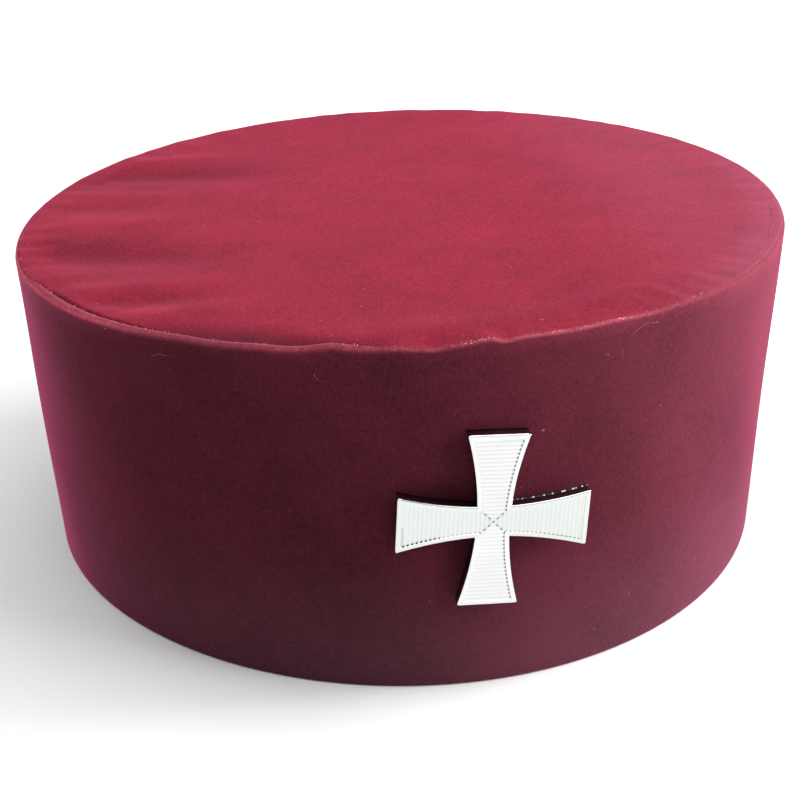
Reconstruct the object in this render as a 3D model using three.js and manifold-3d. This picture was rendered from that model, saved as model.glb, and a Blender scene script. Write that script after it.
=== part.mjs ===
// A round velvet ceremonial cap with a flat top, a little wider at the crown than at the head
// opening, and a silver cross pattée fixed to the front of its side wall.
// Millimetres, +Z up. The origin is the centre of the base rim, on the surface that the cap
// stands on. The badge faces -Y, and the head goes in from below.

import * as THREE from 'three';
import { mergeVertices } from 'three/addons/utils/BufferGeometryUtils.js';
import Module from 'manifold-3d';

const wasm = await Module();
wasm.setup();

// Driving dimensions of the cap
const HEAD_GIRTH = 580;
const WALL = 3;
const HEIGHT = 83.4;
const FLARE = 3.6;
const HEM_ROUND = 0.8;
const TOP_THICK = 2.5;
const TOP_DROP = 0.4;
const TOP_EDGE_ROUND = 1.1;
const CLEARANCE = 0.3;

// Driving dimensions of the badge and its post
const BADGE_SPAN = 41.4;
const BADGE_END_WIDTH = 13.5;
const BADGE_WAIST = 7.5;
const BADGE_SIDE_BOW = 0.5;
const BADGE_CORNER_ROUND = 0.7;
const BADGE_THICK = 2.8;
const BADGE_RIM = 1.1;
const BADGE_RECESS = 0.6;
const BADGE_CENTRE_HEIGHT = 43.7;
const BADGE_SIDE = 0.3;
const BADGE_TURN = -4.2;
const BADGE_SWING = -2;
const BADGE_GAP = 0.4;
const RIB_PITCH = 0.95;
const RIB_RISE = 0.5;
const POST_RADIUS = 1.5;
const POST_SOCKET = 1.5;
const POST_HEAD_RADIUS = 5;
const POST_HEAD_THICK = 1.2;
const POST_HEAD_CLEARANCE = 0.65;

// How finely the round forms are divided
const AROUND = 80;
const WALL_STEPS = 4;
const ROLL_STEPS = 8;
const ROUND_STEPS = 3;
const TOP_RINGS = 13;
const BADGE_CURVE_STEPS = 5;
const POST_SIDES = 16;
const ARMS = 4;
const WELD_DISTANCE = 1e-4;

// The plan isn't a true circle: each row adds a lobed swell, in millimetres, to the base rim and
// to the crown, with its peak at an angle in degrees counter-clockwise from +X.
const PLAN_LOBES = [
  { count: 2, base: 0.4, base_peak: 39, crown: 0.45, crown_peak: 47 },
  { count: 3, base: 1.3, base_peak: 48, crown: 0.75, crown_peak: -13 },
  { count: 4, base: 0.25, base_peak: -23, crown: 0.35, crown_peak: 34 },
];

// The rolled edge rises and falls a little on its way round.
const EDGE_WAVES = [
  { count: 2, rise: 0.65, peak: 65 },
  { count: 3, rise: 0.15, peak: 18 },
  { count: 4, rise: 0.15, peak: -6 },
];

// Soft folds of the top panel, pulled in from its left edge. Each starts at a place along Y,
// drifts by a slope as it runs along +X, rises or dips, and dies out after its reach.
const TOP_FOLDS = [
  { start: 63, slope: -0.05, rise: 0.35, half_width: 4, reach: 28 },
  { start: 52, slope: -0.27, rise: -0.95, half_width: 8, reach: 46 },
  { start: 35.5, slope: -0.3, rise: 0.3, half_width: 4.5, reach: 30 },
  { start: 21.5, slope: -0.15, rise: -0.4, half_width: 5, reach: 28 },
  { start: 8, slope: -0.12, rise: 0.35, half_width: 5.5, reach: 40 },
  { start: -14, slope: -0.3, rise: -1.3, half_width: 10, reach: 42 },
  { start: -43, slope: -0.06, rise: 0.45, half_width: 5, reach: 30 },
  { start: -53, slope: -0.08, rise: -0.65, half_width: 5, reach: 28 },
  { start: -63, slope: -0.03, rise: 0.25, half_width: 5, reach: 28 },
];
const FOLD_SEAM_FADE = 7;

// Sizes worked out from the driving dimensions
const BASE_RADIUS = HEAD_GIRTH / (2 * Math.PI) + WALL;
const CROWN_RADIUS = BASE_RADIUS + FLARE;
const ROLL_RADIUS = WALL / 2;
const SEAM_RADIUS = CROWN_RADIUS - WALL - CLEARANCE;
const TOP_LEVEL = HEIGHT - TOP_DROP;
const FRONT = -Math.PI / 2;
const SWING = THREE.MathUtils.degToRad(BADGE_SWING);

const wallVelvet = new THREE.MeshStandardMaterial({ color: 0x6e1a33, roughness: 0.95, metalness: 0 });
const topVelvet = new THREE.MeshStandardMaterial({ color: 0x96243f, roughness: 0.95, metalness: 0 });
const silver = new THREE.MeshStandardMaterial({ color: 0xe9ebed, roughness: 0.22, metalness: 1 });
const postMetal = new THREE.MeshStandardMaterial({ color: 0x9c9fa3, roughness: 0.45, metalness: 1 });

// Height of one cosine wave that repeats count times round the cap.
function wave(angle, count, peak) {
  return Math.cos(count * (angle - THREE.MathUtils.degToRad(peak)));
}

// Outer radius of the side wall at an angle and at a share of its height.
function wallRadius(angle, share) {
  let base = BASE_RADIUS;
  let crown = CROWN_RADIUS;
  for (const lobe of PLAN_LOBES) {
    base += lobe.base * wave(angle, lobe.count, lobe.base_peak);
    crown += lobe.crown * wave(angle, lobe.count, lobe.crown_peak);
  }
  return base + (crown - base) * share;
}

// Rise of the rolled edge at an angle. Inside the edge a stretched panel follows it less and
// less, by the share of the radius to the power of the wave's count.
function edgeRise(angle, share) {
  let rise = 0;
  for (const row of EDGE_WAVES) {
    rise += row.rise * wave(angle, row.count, row.peak) * Math.pow(share, row.count);
  }
  return rise;
}

// Rise of the top panel's folds at a place on it: a rounded crest across the fold, which swells
// up from the seam and dies out along its reach.
function foldRise(x, y, fromSeam) {
  let rise = 0;
  for (const fold of TOP_FOLDS) {
    const left = -Math.sqrt(Math.max(SEAM_RADIUS ** 2 - fold.start ** 2, 0));
    const along = Math.max(x - left, 0);
    const across = (y - fold.start - fold.slope * along) / fold.half_width;
    const reached = Math.exp(-((along / fold.reach) ** 4));
    rise += fold.rise * Math.exp(-across * across) * reached;
  }
  return rise * THREE.MathUtils.smoothstep(fromSeam, 0, FOLD_SEAM_FADE);
}

// Points of a quarter or half turn about a centre, in the plane of a profile.
function arc(centreX, centreY, radius, fromDegrees, toDegrees, steps) {
  const points = [];
  for (let i = 0; i <= steps; i++) {
    const turn = THREE.MathUtils.degToRad(fromDegrees + (toDegrees - fromDegrees) * i / steps);
    points.push(new THREE.Vector2(centreX + radius * Math.cos(turn), centreY + radius * Math.sin(turn)));
  }
  return points;
}

// Straight run between two profile points, without its two ends.
function between(from, to, steps) {
  const points = [];
  for (let i = 1; i < steps; i++) {
    points.push(from.clone().lerp(to, i / steps));
  }
  return points;
}

// A geometry with only positions, whose shared corners are one and whose flat slivers are gone.
function welded(geometry) {
  geometry.deleteAttribute('normal');
  geometry.deleteAttribute('uv');
  const merged = mergeVertices(geometry, WELD_DISTANCE);
  const index = merged.getIndex().array;
  const kept = [];
  for (let i = 0; i < index.length; i += 3) {
    const [a, b, c] = [index[i], index[i + 1], index[i + 2]];
    if (a !== b && b !== c && c !== a) kept.push(a, b, c);
  }
  merged.setIndex(kept);
  return merged;
}

// A closed geometry as a solid that can be joined and cut.
function solid(geometry) {
  const closed = welded(geometry);
  return new wasm.Manifold(new wasm.Mesh({
    numProp: 3,
    vertProperties: new Float32Array(closed.getAttribute('position').array),
    triVerts: new Uint32Array(closed.getIndex().array),
  }));
}

// The geometry of a joined and cut solid.
function geometryOf(manifold) {
  const mesh = manifold.getMesh();
  const geometry = new THREE.BufferGeometry();
  geometry.setAttribute('position', new THREE.BufferAttribute(mesh.vertProperties, 3));
  geometry.setIndex(new THREE.BufferAttribute(mesh.triVerts, 1));
  return geometry;
}

// A profile turned about +Z, with each of its corners then moved to its place on the cap.
function turned(profile, sides, place) {
  const geometry = new THREE.LatheGeometry(profile, sides);
  geometry.rotateX(Math.PI / 2);
  const positions = geometry.getAttribute('position');
  const corner = new THREE.Vector3();
  for (let i = 0; i < positions.count; i++) {
    corner.fromBufferAttribute(positions, i);
    place(corner);
    positions.setXYZ(i, corner.x, corner.y, corner.z);
  }
  return geometry;
}

// A piece of the cap: one closed body with its own name and finish.
function piece(name, geometry, material) {
  const body = welded(geometry);
  body.computeVertexNormals();
  const mesh = new THREE.Mesh(body, material);
  mesh.name = name;
  return mesh;
}

// Side wall: a tapered tube with a flat base rim, rounded hem and a rolled top edge.
function sideWallGeometry() {
  const outer = BASE_RADIUS;
  const inner = BASE_RADIUS - WALL;
  const rollFoot = HEIGHT - ROLL_RADIUS;
  const hemOut = arc(outer - HEM_ROUND, HEM_ROUND, HEM_ROUND, -90, 0, ROUND_STEPS);
  const roll = arc(outer - ROLL_RADIUS, rollFoot, ROLL_RADIUS, 0, 180, ROLL_STEPS);
  const hemIn = arc(inner + HEM_ROUND, HEM_ROUND, HEM_ROUND, 180, 270, ROUND_STEPS);
  const profile = [
    ...hemOut,
    ...between(hemOut.at(-1), roll[0], WALL_STEPS),
    ...roll,
    ...between(roll.at(-1), hemIn[0], WALL_STEPS),
    ...hemIn,
    hemOut[0].clone(),
  ];
  return turned(profile, AROUND, (corner) => {
    const angle = Math.atan2(corner.y, corner.x);
    const share = corner.z / HEIGHT;
    const radius = Math.hypot(corner.x, corner.y);
    const shifted = radius - BASE_RADIUS + wallRadius(angle, share);
    corner.x *= shifted / radius;
    corner.y *= shifted / radius;
    corner.z += edgeRise(angle, 1) * share;
  });
}

// Top panel: a disc whose rounded edge dips into the seam, with the soft folds on both faces.
function crownTopGeometry() {
  const flat = SEAM_RADIUS - TOP_EDGE_ROUND;
  const rings = [];
  for (let i = 0; i < TOP_RINGS; i++) {
    rings.push(flat * i / TOP_RINGS);
  }
  const under = TOP_LEVEL - TOP_THICK;
  const edge = arc(flat, TOP_LEVEL - TOP_EDGE_ROUND, TOP_EDGE_ROUND, 0, 90, ROUND_STEPS);
  const profile = [
    ...rings.map((radius) => new THREE.Vector2(radius, under)),
    new THREE.Vector2(flat, under),
    new THREE.Vector2(SEAM_RADIUS, under),
    ...edge,
    ...rings.toReversed().map((radius) => new THREE.Vector2(radius, TOP_LEVEL)),
  ];
  return turned(profile, AROUND, (corner) => {
    const angle = Math.atan2(corner.y, corner.x);
    const share = Math.hypot(corner.x, corner.y) / SEAM_RADIUS;
    const stretch = (wallRadius(angle, corner.z / HEIGHT) - WALL - CLEARANCE) / SEAM_RADIUS;
    corner.x *= stretch;
    corner.y *= stretch;
    corner.z += edgeRise(angle, share);
    corner.z += foldRise(corner.x, corner.y, SEAM_RADIUS * (1 - share));
  });
}

// One flared arm's side, from the crotch out to a corner of the arm's end, as the middle point
// of a curve that bows in towards the arm's own line.
function sideBow(half, end, waist) {
  const run = new THREE.Vector2(end - waist, half - waist);
  const middle = new THREE.Vector2((end + waist) / 2, (half + waist) / 2);
  const inward = new THREE.Vector2(-run.y, run.x).normalize();
  return middle.addScaledVector(inward, 2 * BADGE_SIDE_BOW);
}

// The path of one arm, drawn counter-clockwise from its right crotch to its left crotch.
function drawArm(shape, arm, half, end, waist) {
  const turn = arm * Math.PI / 2;
  const at = (x, y) => new THREE.Vector2(x, y).rotateAround(new THREE.Vector2(), turn);
  const bow = sideBow(half, end, waist);
  const back = new THREE.Vector2(bow.x - end, bow.y - half).setLength(BADGE_CORNER_ROUND);
  const stops = [
    { bend: at(bow.x, bow.y), end: at(end + back.x, half + back.y) },
    { bend: at(end, half), end: at(end - BADGE_CORNER_ROUND, half) },
    { bend: at(0, half), end: at(BADGE_CORNER_ROUND - end, half) },
    { bend: at(-end, half), end: at(-end - back.x, half + back.y) },
    { bend: at(-bow.x, bow.y), end: at(-waist, waist) },
  ];
  for (const stop of stops) {
    shape.quadraticCurveTo(stop.bend.x, stop.bend.y, stop.end.x, stop.end.y);
  }
}

// The whole cross, drawn in from its outline by an inset.
function crossShape(inset) {
  const waist = BADGE_WAIST / 2 - inset;
  const shape = new THREE.Shape();
  shape.moveTo(waist, waist);
  for (let arm = 0; arm < ARMS; arm++) {
    drawArm(shape, arm, BADGE_SPAN / 2 - inset, BADGE_END_WIDTH / 2 - inset, waist);
  }
  return shape;
}

// One arm's ribbed field: the arm inside the rim, cut to a mitre at the badge's centre.
function armField(inset) {
  const waist = BADGE_WAIST / 2 - inset;
  const shape = new THREE.Shape();
  shape.moveTo(0, 0);
  shape.lineTo(waist, waist);
  drawArm(shape, 0, BADGE_SPAN / 2 - inset, BADGE_END_WIDTH / 2 - inset, waist);
  return shape;
}

// A flat outline given thickness, from one level to another.
function slab(shape, from, to) {
  const geometry = new THREE.ExtrudeGeometry(shape, {
    depth: to - from,
    bevelEnabled: false,
    curveSegments: BADGE_CURVE_STEPS,
  });
  geometry.translate(0, 0, from);
  return geometry;
}

// Ribs right across an arm, as one bar with a row of rounded crests along the arm's length.
function ribBar(floor) {
  const root = floor - CLEARANCE;
  const count = Math.ceil(BADGE_SPAN / 2 / RIB_PITCH);
  const shape = new THREE.Shape();
  shape.moveTo(count * RIB_PITCH, root);
  shape.lineTo(count * RIB_PITCH, floor);
  const crest = [
    { along: 0.78, rise: 0.8 },
    { along: 0.5, rise: 1 },
    { along: 0.22, rise: 0.8 },
    { along: 0, rise: 0 },
  ];
  for (let rib = count - 1; rib >= 0; rib--) {
    for (const point of crest) {
      shape.lineTo((rib + point.along) * RIB_PITCH, floor + point.rise * RIB_RISE);
    }
  }
  shape.lineTo(0, root);
  const bar = new THREE.ExtrudeGeometry(shape, { depth: BADGE_END_WIDTH, bevelEnabled: false });
  bar.translate(0, 0, -BADGE_END_WIDTH / 2);
  const across = new THREE.Vector3(1, 0, 0);
  const along = new THREE.Vector3(0, 1, 0);
  const out = new THREE.Vector3(0, 0, 1);
  bar.applyMatrix4(new THREE.Matrix4().makeBasis(along, out, across));
  return bar;
}

// Badge: a plate with a sunk field inside its rim, ribs across each arm, and a blind socket in
// its back for the post. Its back is at z = 0 here, and its front faces +Z.
function badgeGeometry() {
  const floor = BADGE_THICK - BADGE_RECESS;
  const fieldInset = BADGE_RIM - CLEARANCE / 2;
  const plate = solid(slab(crossShape(0), 0, BADGE_THICK));
  const recess = solid(slab(crossShape(BADGE_RIM), floor, BADGE_THICK + BADGE_RECESS));
  const socket = solid(postHole(-POST_SOCKET, POST_SOCKET));
  let badge = plate.subtract(recess).subtract(socket);
  for (let arm = 0; arm < ARMS; arm++) {
    const turn = arm * Math.PI / 2;
    const bar = solid(ribBar(floor).rotateZ(turn));
    const field = solid(slab(armField(fieldInset), floor - BADGE_RECESS, BADGE_THICK).rotateZ(turn));
    badge = badge.add(bar.intersect(field));
  }
  return geometryOf(badge);
}

// Round clearance hole for the post, along the badge's axis.
function postHole(from, to) {
  const radius = POST_RADIUS + CLEARANCE;
  const hole = new THREE.CylinderGeometry(radius, radius, to - from, POST_SIDES);
  hole.rotateX(Math.PI / 2);
  hole.translate(0, 0, (from + to) / 2);
  return hole;
}

// Distance of the badge's back from the wall, along the post. The badge is flat and swung, so it
// comes nearest to the round wall beside the post, and it is clear of the velvet there by its gap.
function badgeStandOff() {
  const radius = wallRadius(FRONT, BADGE_CENTRE_HEIGHT / HEIGHT);
  return (radius + BADGE_GAP - BADGE_SIDE * Math.sin(SWING)) / Math.cos(SWING) - radius;
}

// Post: a shank from the badge's socket through the wall to a flat head against the inside.
function postGeometry() {
  const tip = POST_SOCKET - CLEARANCE;
  const shoulder = -(badgeStandOff() + WALL + POST_HEAD_CLEARANCE);
  const profile = [
    new THREE.Vector2(0, shoulder - POST_HEAD_THICK),
    new THREE.Vector2(POST_HEAD_RADIUS, shoulder - POST_HEAD_THICK),
    new THREE.Vector2(POST_HEAD_RADIUS, shoulder),
    new THREE.Vector2(POST_RADIUS, shoulder),
    new THREE.Vector2(POST_RADIUS, tip),
    new THREE.Vector2(0, tip),
  ];
  return turned(profile, POST_SIDES, () => {});
}

// The badge stands nearly square to the wall where it is fixed: it leans out with the wall's flare,
// it is swung a little to the left about the upright, so that its right end stands further off, and
// it is turned a little in its own plane.
function badgeMount() {
  const share = BADGE_CENTRE_HEIGHT / HEIGHT;
  const lean = Math.atan2(wallRadius(FRONT, 1) - wallRadius(FRONT, 0), HEIGHT);
  const mount = new THREE.Group();
  mount.position.set(BADGE_SIDE, -wallRadius(FRONT, share) - badgeStandOff(), BADGE_CENTRE_HEIGHT);
  mount.rotation.set(Math.PI / 2 + lean, 0, SWING, 'ZYX');
  const spun = new THREE.Group();
  spun.rotation.z = THREE.MathUtils.degToRad(BADGE_TURN);
  spun.add(piece('cross_badge', badgeGeometry(), silver));
  spun.add(piece('badge_post', postGeometry(), postMetal));
  mount.add(spun);
  return mount;
}

const cap = new THREE.Group();
const mount = badgeMount();
cap.add(mount);
cap.updateMatrixWorld(true);
const wallHole = postHole(-2 * WALL, WALL).applyMatrix4(mount.matrixWorld);
const wall = solid(sideWallGeometry()).subtract(solid(wallHole));
cap.add(piece('side_wall', geometryOf(wall), wallVelvet));
cap.add(piece('crown_top', crownTopGeometry(), topVelvet));

export default cap;
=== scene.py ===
"""Dresses the round velvet cap: its wall, top panel, seam, worn edge, silver cross and studio.

Sizes are in millimetres and degrees, in the part's own frame: +Z is up, the badge faces -Y, and
the origin is the centre of the base rim. Surface turns the points into Blender's metres. Angles
are measured from +X and break at the back, so they run from -270 to 90 degrees.
"""

import logging
from dataclasses import astuple, dataclass, field, replace
from enum import Enum
from typing import Any

import bpy
import numpy as np
from mathutils import Matrix, Vector


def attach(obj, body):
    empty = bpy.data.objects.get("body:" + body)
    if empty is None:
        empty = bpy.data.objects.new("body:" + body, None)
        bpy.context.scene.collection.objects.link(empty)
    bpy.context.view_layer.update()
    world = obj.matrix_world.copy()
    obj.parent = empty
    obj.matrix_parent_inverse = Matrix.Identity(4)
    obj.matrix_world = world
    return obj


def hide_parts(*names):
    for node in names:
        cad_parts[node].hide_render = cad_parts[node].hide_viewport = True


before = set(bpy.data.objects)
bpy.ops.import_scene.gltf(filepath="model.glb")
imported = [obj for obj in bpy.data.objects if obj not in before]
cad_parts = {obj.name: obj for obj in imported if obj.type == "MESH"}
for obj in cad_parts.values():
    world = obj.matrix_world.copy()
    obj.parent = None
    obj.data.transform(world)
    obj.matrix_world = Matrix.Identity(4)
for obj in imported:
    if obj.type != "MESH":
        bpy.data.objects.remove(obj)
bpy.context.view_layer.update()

MM = 0.001
# Two heights this close count as one, in millimetres.
NEAR = 0.001
PHOTO_SIDE = 800
FRONT = np.array(-np.pi / 2.0)
UPWARD = np.array([0.0, 0.0, 1.0])
WHITE = (1.0, 1.0, 1.0, 1.0)
Array = np.ndarray
Colour = tuple[float, float, float]
Range = tuple[float, float]
Socket = bpy.types.NodeSocket
log = logging.getLogger("velvet_cap")


class Slot(Enum):
    """The record's material slots."""

    WALL_VELVET = "wall_velvet"
    TOP_VELVET = "top_velvet"
    SILVER = "silver"
    POST_METAL = "post_metal"


class Node(Enum):
    """The solids that the dressed pieces stand for."""

    SIDE_WALL = "side_wall"
    CROWN_TOP = "crown_top"
    CROSS_BADGE = "cross_badge"
    BADGE_POST = "badge_post"


class ClothPlane(Enum):
    """How a cloth's two thread directions lie on its piece."""

    ROUND_THE_WALL = "round_the_wall"
    ACROSS_THE_TOP = "across_the_top"


def smooth_step(value: Array, low: float, high: float) -> Array:
    """Share of the way from low to high, level at both ends: three squares less two cubes of it."""
    share = np.clip((value - low) / (high - low), 0.0, 1.0)
    return share * share * (3.0 - 2.0 * share)


def bell(value: Array, middle: float, half_width: float) -> Array:
    """Rounded crest from 0 to 1: e to the power of minus the square of the distance in half widths."""
    return np.exp(-(((value - middle) / half_width) ** 2))


def unit(rows: Array) -> Array:
    """The rows' directions: each row over its own length."""
    return rows / np.linalg.norm(rows, axis=-1, keepdims=True)


def ring_angles(count: int) -> Array:
    """Even angles of one full turn, in radians."""
    return np.linspace(0.0, 2.0 * np.pi, count, endpoint=False)


def cap_angles(columns: int) -> Array:
    """Even angles round the cap from its back, as one row, in radians."""
    return np.linspace(-1.5 * np.pi, 0.5 * np.pi, columns, endpoint=False)[None, :]


def round_points(radius: Array | float, angle: Array, level: Array | float) -> Array:
    """Points about the upright axis: radius times cosine, radius times sine, and level."""
    return np.stack(np.broadcast_arrays(radius * np.cos(angle), radius * np.sin(angle), level), axis=-1)


def arc_points(centre: tuple[float, float], radius: float, start: float, end: float, steps: int) -> Array:
    """Points of an arc between two angles in degrees: centre plus radius times cosine and sine."""
    turn = np.radians(np.linspace(start, end, steps + 1))
    return np.stack([centre[0] + radius * np.cos(turn), centre[1] + radius * np.sin(turn)], axis=1)


def line_points(start: Array, end: Array, steps: int) -> Array:
    """Points at equal steps between two profile points, without the two themselves."""
    share = np.linspace(0.0, 1.0, steps + 1)[1:-1, None]
    return start + (end - start) * share


def grid_faces(rows: int, columns: int, closed_rows: bool = False, closed_columns: bool = False) -> Array:
    """Four-cornered faces of a grid whose points are numbered row by row.

    Args:
        rows: Number of rows.
        columns: Number of points in a row.
        closed_rows: Whether the last row joins the first.
        closed_columns: Whether a row's last point joins its first.

    Returns:
        Each face's corners: a point, its neighbour in the row, and the two below them.
    """
    row, column = np.meshgrid(
        np.arange(rows if closed_rows else rows - 1),
        np.arange(columns if closed_columns else columns - 1),
        indexing="ij",
    )
    this = row * columns
    below = (row + 1) % rows * columns
    beside = (column + 1) % columns
    corners = [this + column, this + beside, below + beside, below + column]
    return np.stack(corners, axis=-1).reshape(-1, 4)


@dataclass(frozen=True)
class RoundNoise:
    """Smooth random ripple that closes on itself round the cap.

    Fields are the start of its random draws, its fewest and most waves round the cap, its root
    mean square height, and the least weight of a wave before the finer ones are weakened.
    """

    seed: int
    lowest: int
    highest: int
    size: float = 1.0
    least_weight: float = 0.4

    def at(self, angle: Array) -> Array:
        """Ripple at each angle: the sum of cosine waves, each over the root of its count.

        Args:
            angle: Angles round the cap, in radians.

        Returns:
            The ripple's height at each angle.
        """
        draw = np.random.default_rng(self.seed)
        counts = np.arange(self.lowest, self.highest + 1)
        phases = draw.uniform(0.0, 2.0 * np.pi, counts.size)
        weights = draw.uniform(self.least_weight, 1.0, counts.size) / np.sqrt(counts)
        sizes = self.size * weights * np.sqrt(2.0 / np.sum(weights**2))
        return np.cos(np.asarray(angle)[..., None] * counts + phases) @ sizes


@dataclass(frozen=True)
class Stretch:
    """One stretch round the cap, in degrees: it grows from start to full and goes from fading to end."""

    start: float
    full: float
    fading: float
    end: float

    def share(self, angle: Array) -> Array:
        """Share of the stretch at angles in radians: a smooth rise times a smooth fall."""
        turn = np.degrees(angle)
        return smooth_step(turn, self.start, self.full) * (1.0 - smooth_step(turn, self.fading, self.end))


@dataclass(frozen=True)
class Crest:
    """One rounded rise or dip round the cap: its middle and half width in degrees, and its size."""

    middle: float
    half_width: float
    size: float = 1.0

    def at(self, angle: Array) -> Array:
        """Height of the crest at angles in radians: its size times a bell."""
        return self.size * bell(np.degrees(angle), self.middle, self.half_width)


@dataclass(frozen=True)
class Band:
    """A bell across some distance: where it is highest and its half width, in millimetres."""

    middle: float
    half_width: float

    def at(self, distance: Array) -> Array:
        """Height of the bell at each distance, from 0 to 1."""
        return bell(distance, self.middle, self.half_width)


@dataclass
class Surface:
    """A closed shape worked out as whole arrays, in millimetres.

    Fields are the points, the arrays of faces with the place of each one's finish, and the
    numbers that its finishes read at each point.
    """

    points: Array
    faces: list[Array]
    finishes: list[int]
    marks: dict[str, Array] = field(default_factory=dict)

    @classmethod
    def tubes(cls, points: Array, marks: dict[str, Array] | None = None) -> "Surface":
        """Makes rings of points a row of tubes, each closed by one flat face at either end.

        Args:
            points: Points by tube, place along it, place round it and direction.
            marks: Numbers that the finish reads at each point, if any.

        Returns:
            All the tubes as one shape.
        """
        count, lengthwise, sides = points.shape[:3]
        each = lengthwise * sides
        start = (np.arange(count) * each)[:, None]
        sleeve = grid_faces(lengthwise, sides, False, True)[None] + start[:, :, None]
        first = np.arange(sides)[None, ::-1] + start
        last = np.arange(sides)[None, :] + (each - sides) + start
        return cls(points.reshape(-1, 3), [sleeve.reshape(-1, 4), first, last], [0, 0, 0], marks or {})

    def volume(self) -> float:
        """Adds up the volume between the origin and each face's fan of triangles.

        Returns:
            The volume inside the faces, positive when they point outwards.
        """
        total = 0.0
        for face in self.faces:
            first = self.points[face[:, 0]]
            for corner in range(1, face.shape[1] - 1):
                second = self.points[face[:, corner]]
                third = self.points[face[:, corner + 1]]
                total += float(np.sum(first * np.cross(second, third))) / 6.0
        return total

    def joined(self, grain: float = 0.0005) -> "Surface":
        """Makes points in the same place one point and drops the faces that this closes up.

        Args:
            grain: Distance within which places are the same, in millimetres.

        Returns:
            The joined shape, whose faces with three corners left are kept as triangles.
        """
        key = np.round(self.points / grain).astype(np.int64)
        _, first, place = np.unique(key, axis=0, return_index=True, return_inverse=True)
        place = place.ravel()
        faces: list[Array] = []
        finishes: list[int] = []
        for face, finish in zip(self.faces, self.finishes):
            moved = place[face]
            if face.shape[1] != 4:
                faces.append(moved)
                finishes.append(finish)
                continue
            same = moved == np.roll(moved, -1, axis=1)
            whole = moved[~same.any(axis=1)]
            one = same.sum(axis=1) == 1
            keep = np.argsort(same[one], axis=1, kind="stable")[:, :3]
            three = np.take_along_axis(moved[one], np.sort(keep, axis=1), axis=1)
            faces += [whole, three]
            finishes += [finish, finish]
        marks = {mark: values[first] for mark, values in self.marks.items()}
        return Surface(self.points[first], faces, finishes, marks)

    def piece(
        self, name: str, materials: list[bpy.types.Material], sharp: float | None = None
    ) -> bpy.types.Object:
        """Makes the shape an object at the origin, with its faces turned outwards.

        Args:
            name: The piece's name.
            materials: The finishes, in the order that the faces count them.
            sharp: Angle above which an edge stays sharp, in degrees, or none.

        Returns:
            The new object.
        """
        inside_out = self.volume() < 0.0
        faces: list[list[int]] = []
        places: list[int] = []
        for face, finish in zip(self.faces, self.finishes):
            faces += (face[:, ::-1] if inside_out else face).tolist()
            places += [finish] * len(face)
        mesh = bpy.data.meshes.new(name)
        mesh.from_pydata((self.points * MM).tolist(), [], faces)
        mesh.polygons.foreach_set("material_index", places)
        mesh.polygons.foreach_set("use_smooth", np.ones(len(faces), dtype=bool))
        for material in materials:
            mesh.materials.append(material)
        for mark, values in self.marks.items():
            attribute = mesh.attributes.new(mark, "FLOAT", "POINT")
            attribute.data.foreach_set("value", np.ascontiguousarray(values, dtype=np.float32))
        if sharp is not None:
            mesh.set_sharp_from_angle(angle=np.radians(sharp))
        mesh.update()
        made = bpy.data.objects.new(name, mesh)
        bpy.context.scene.collection.objects.link(made)
        return made


def fit(piece: bpy.types.Object, node: Node | None = None) -> bpy.types.Object:
    """Rides a piece on the cap's one body and hides the solid that it takes the place of.

    Args:
        piece: The new piece.
        node: The solid that it takes the place of, if any.

    Returns:
        The same piece.
    """
    if node is not None:
        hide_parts(node.value)
    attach(piece, "root")
    return piece


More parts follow.
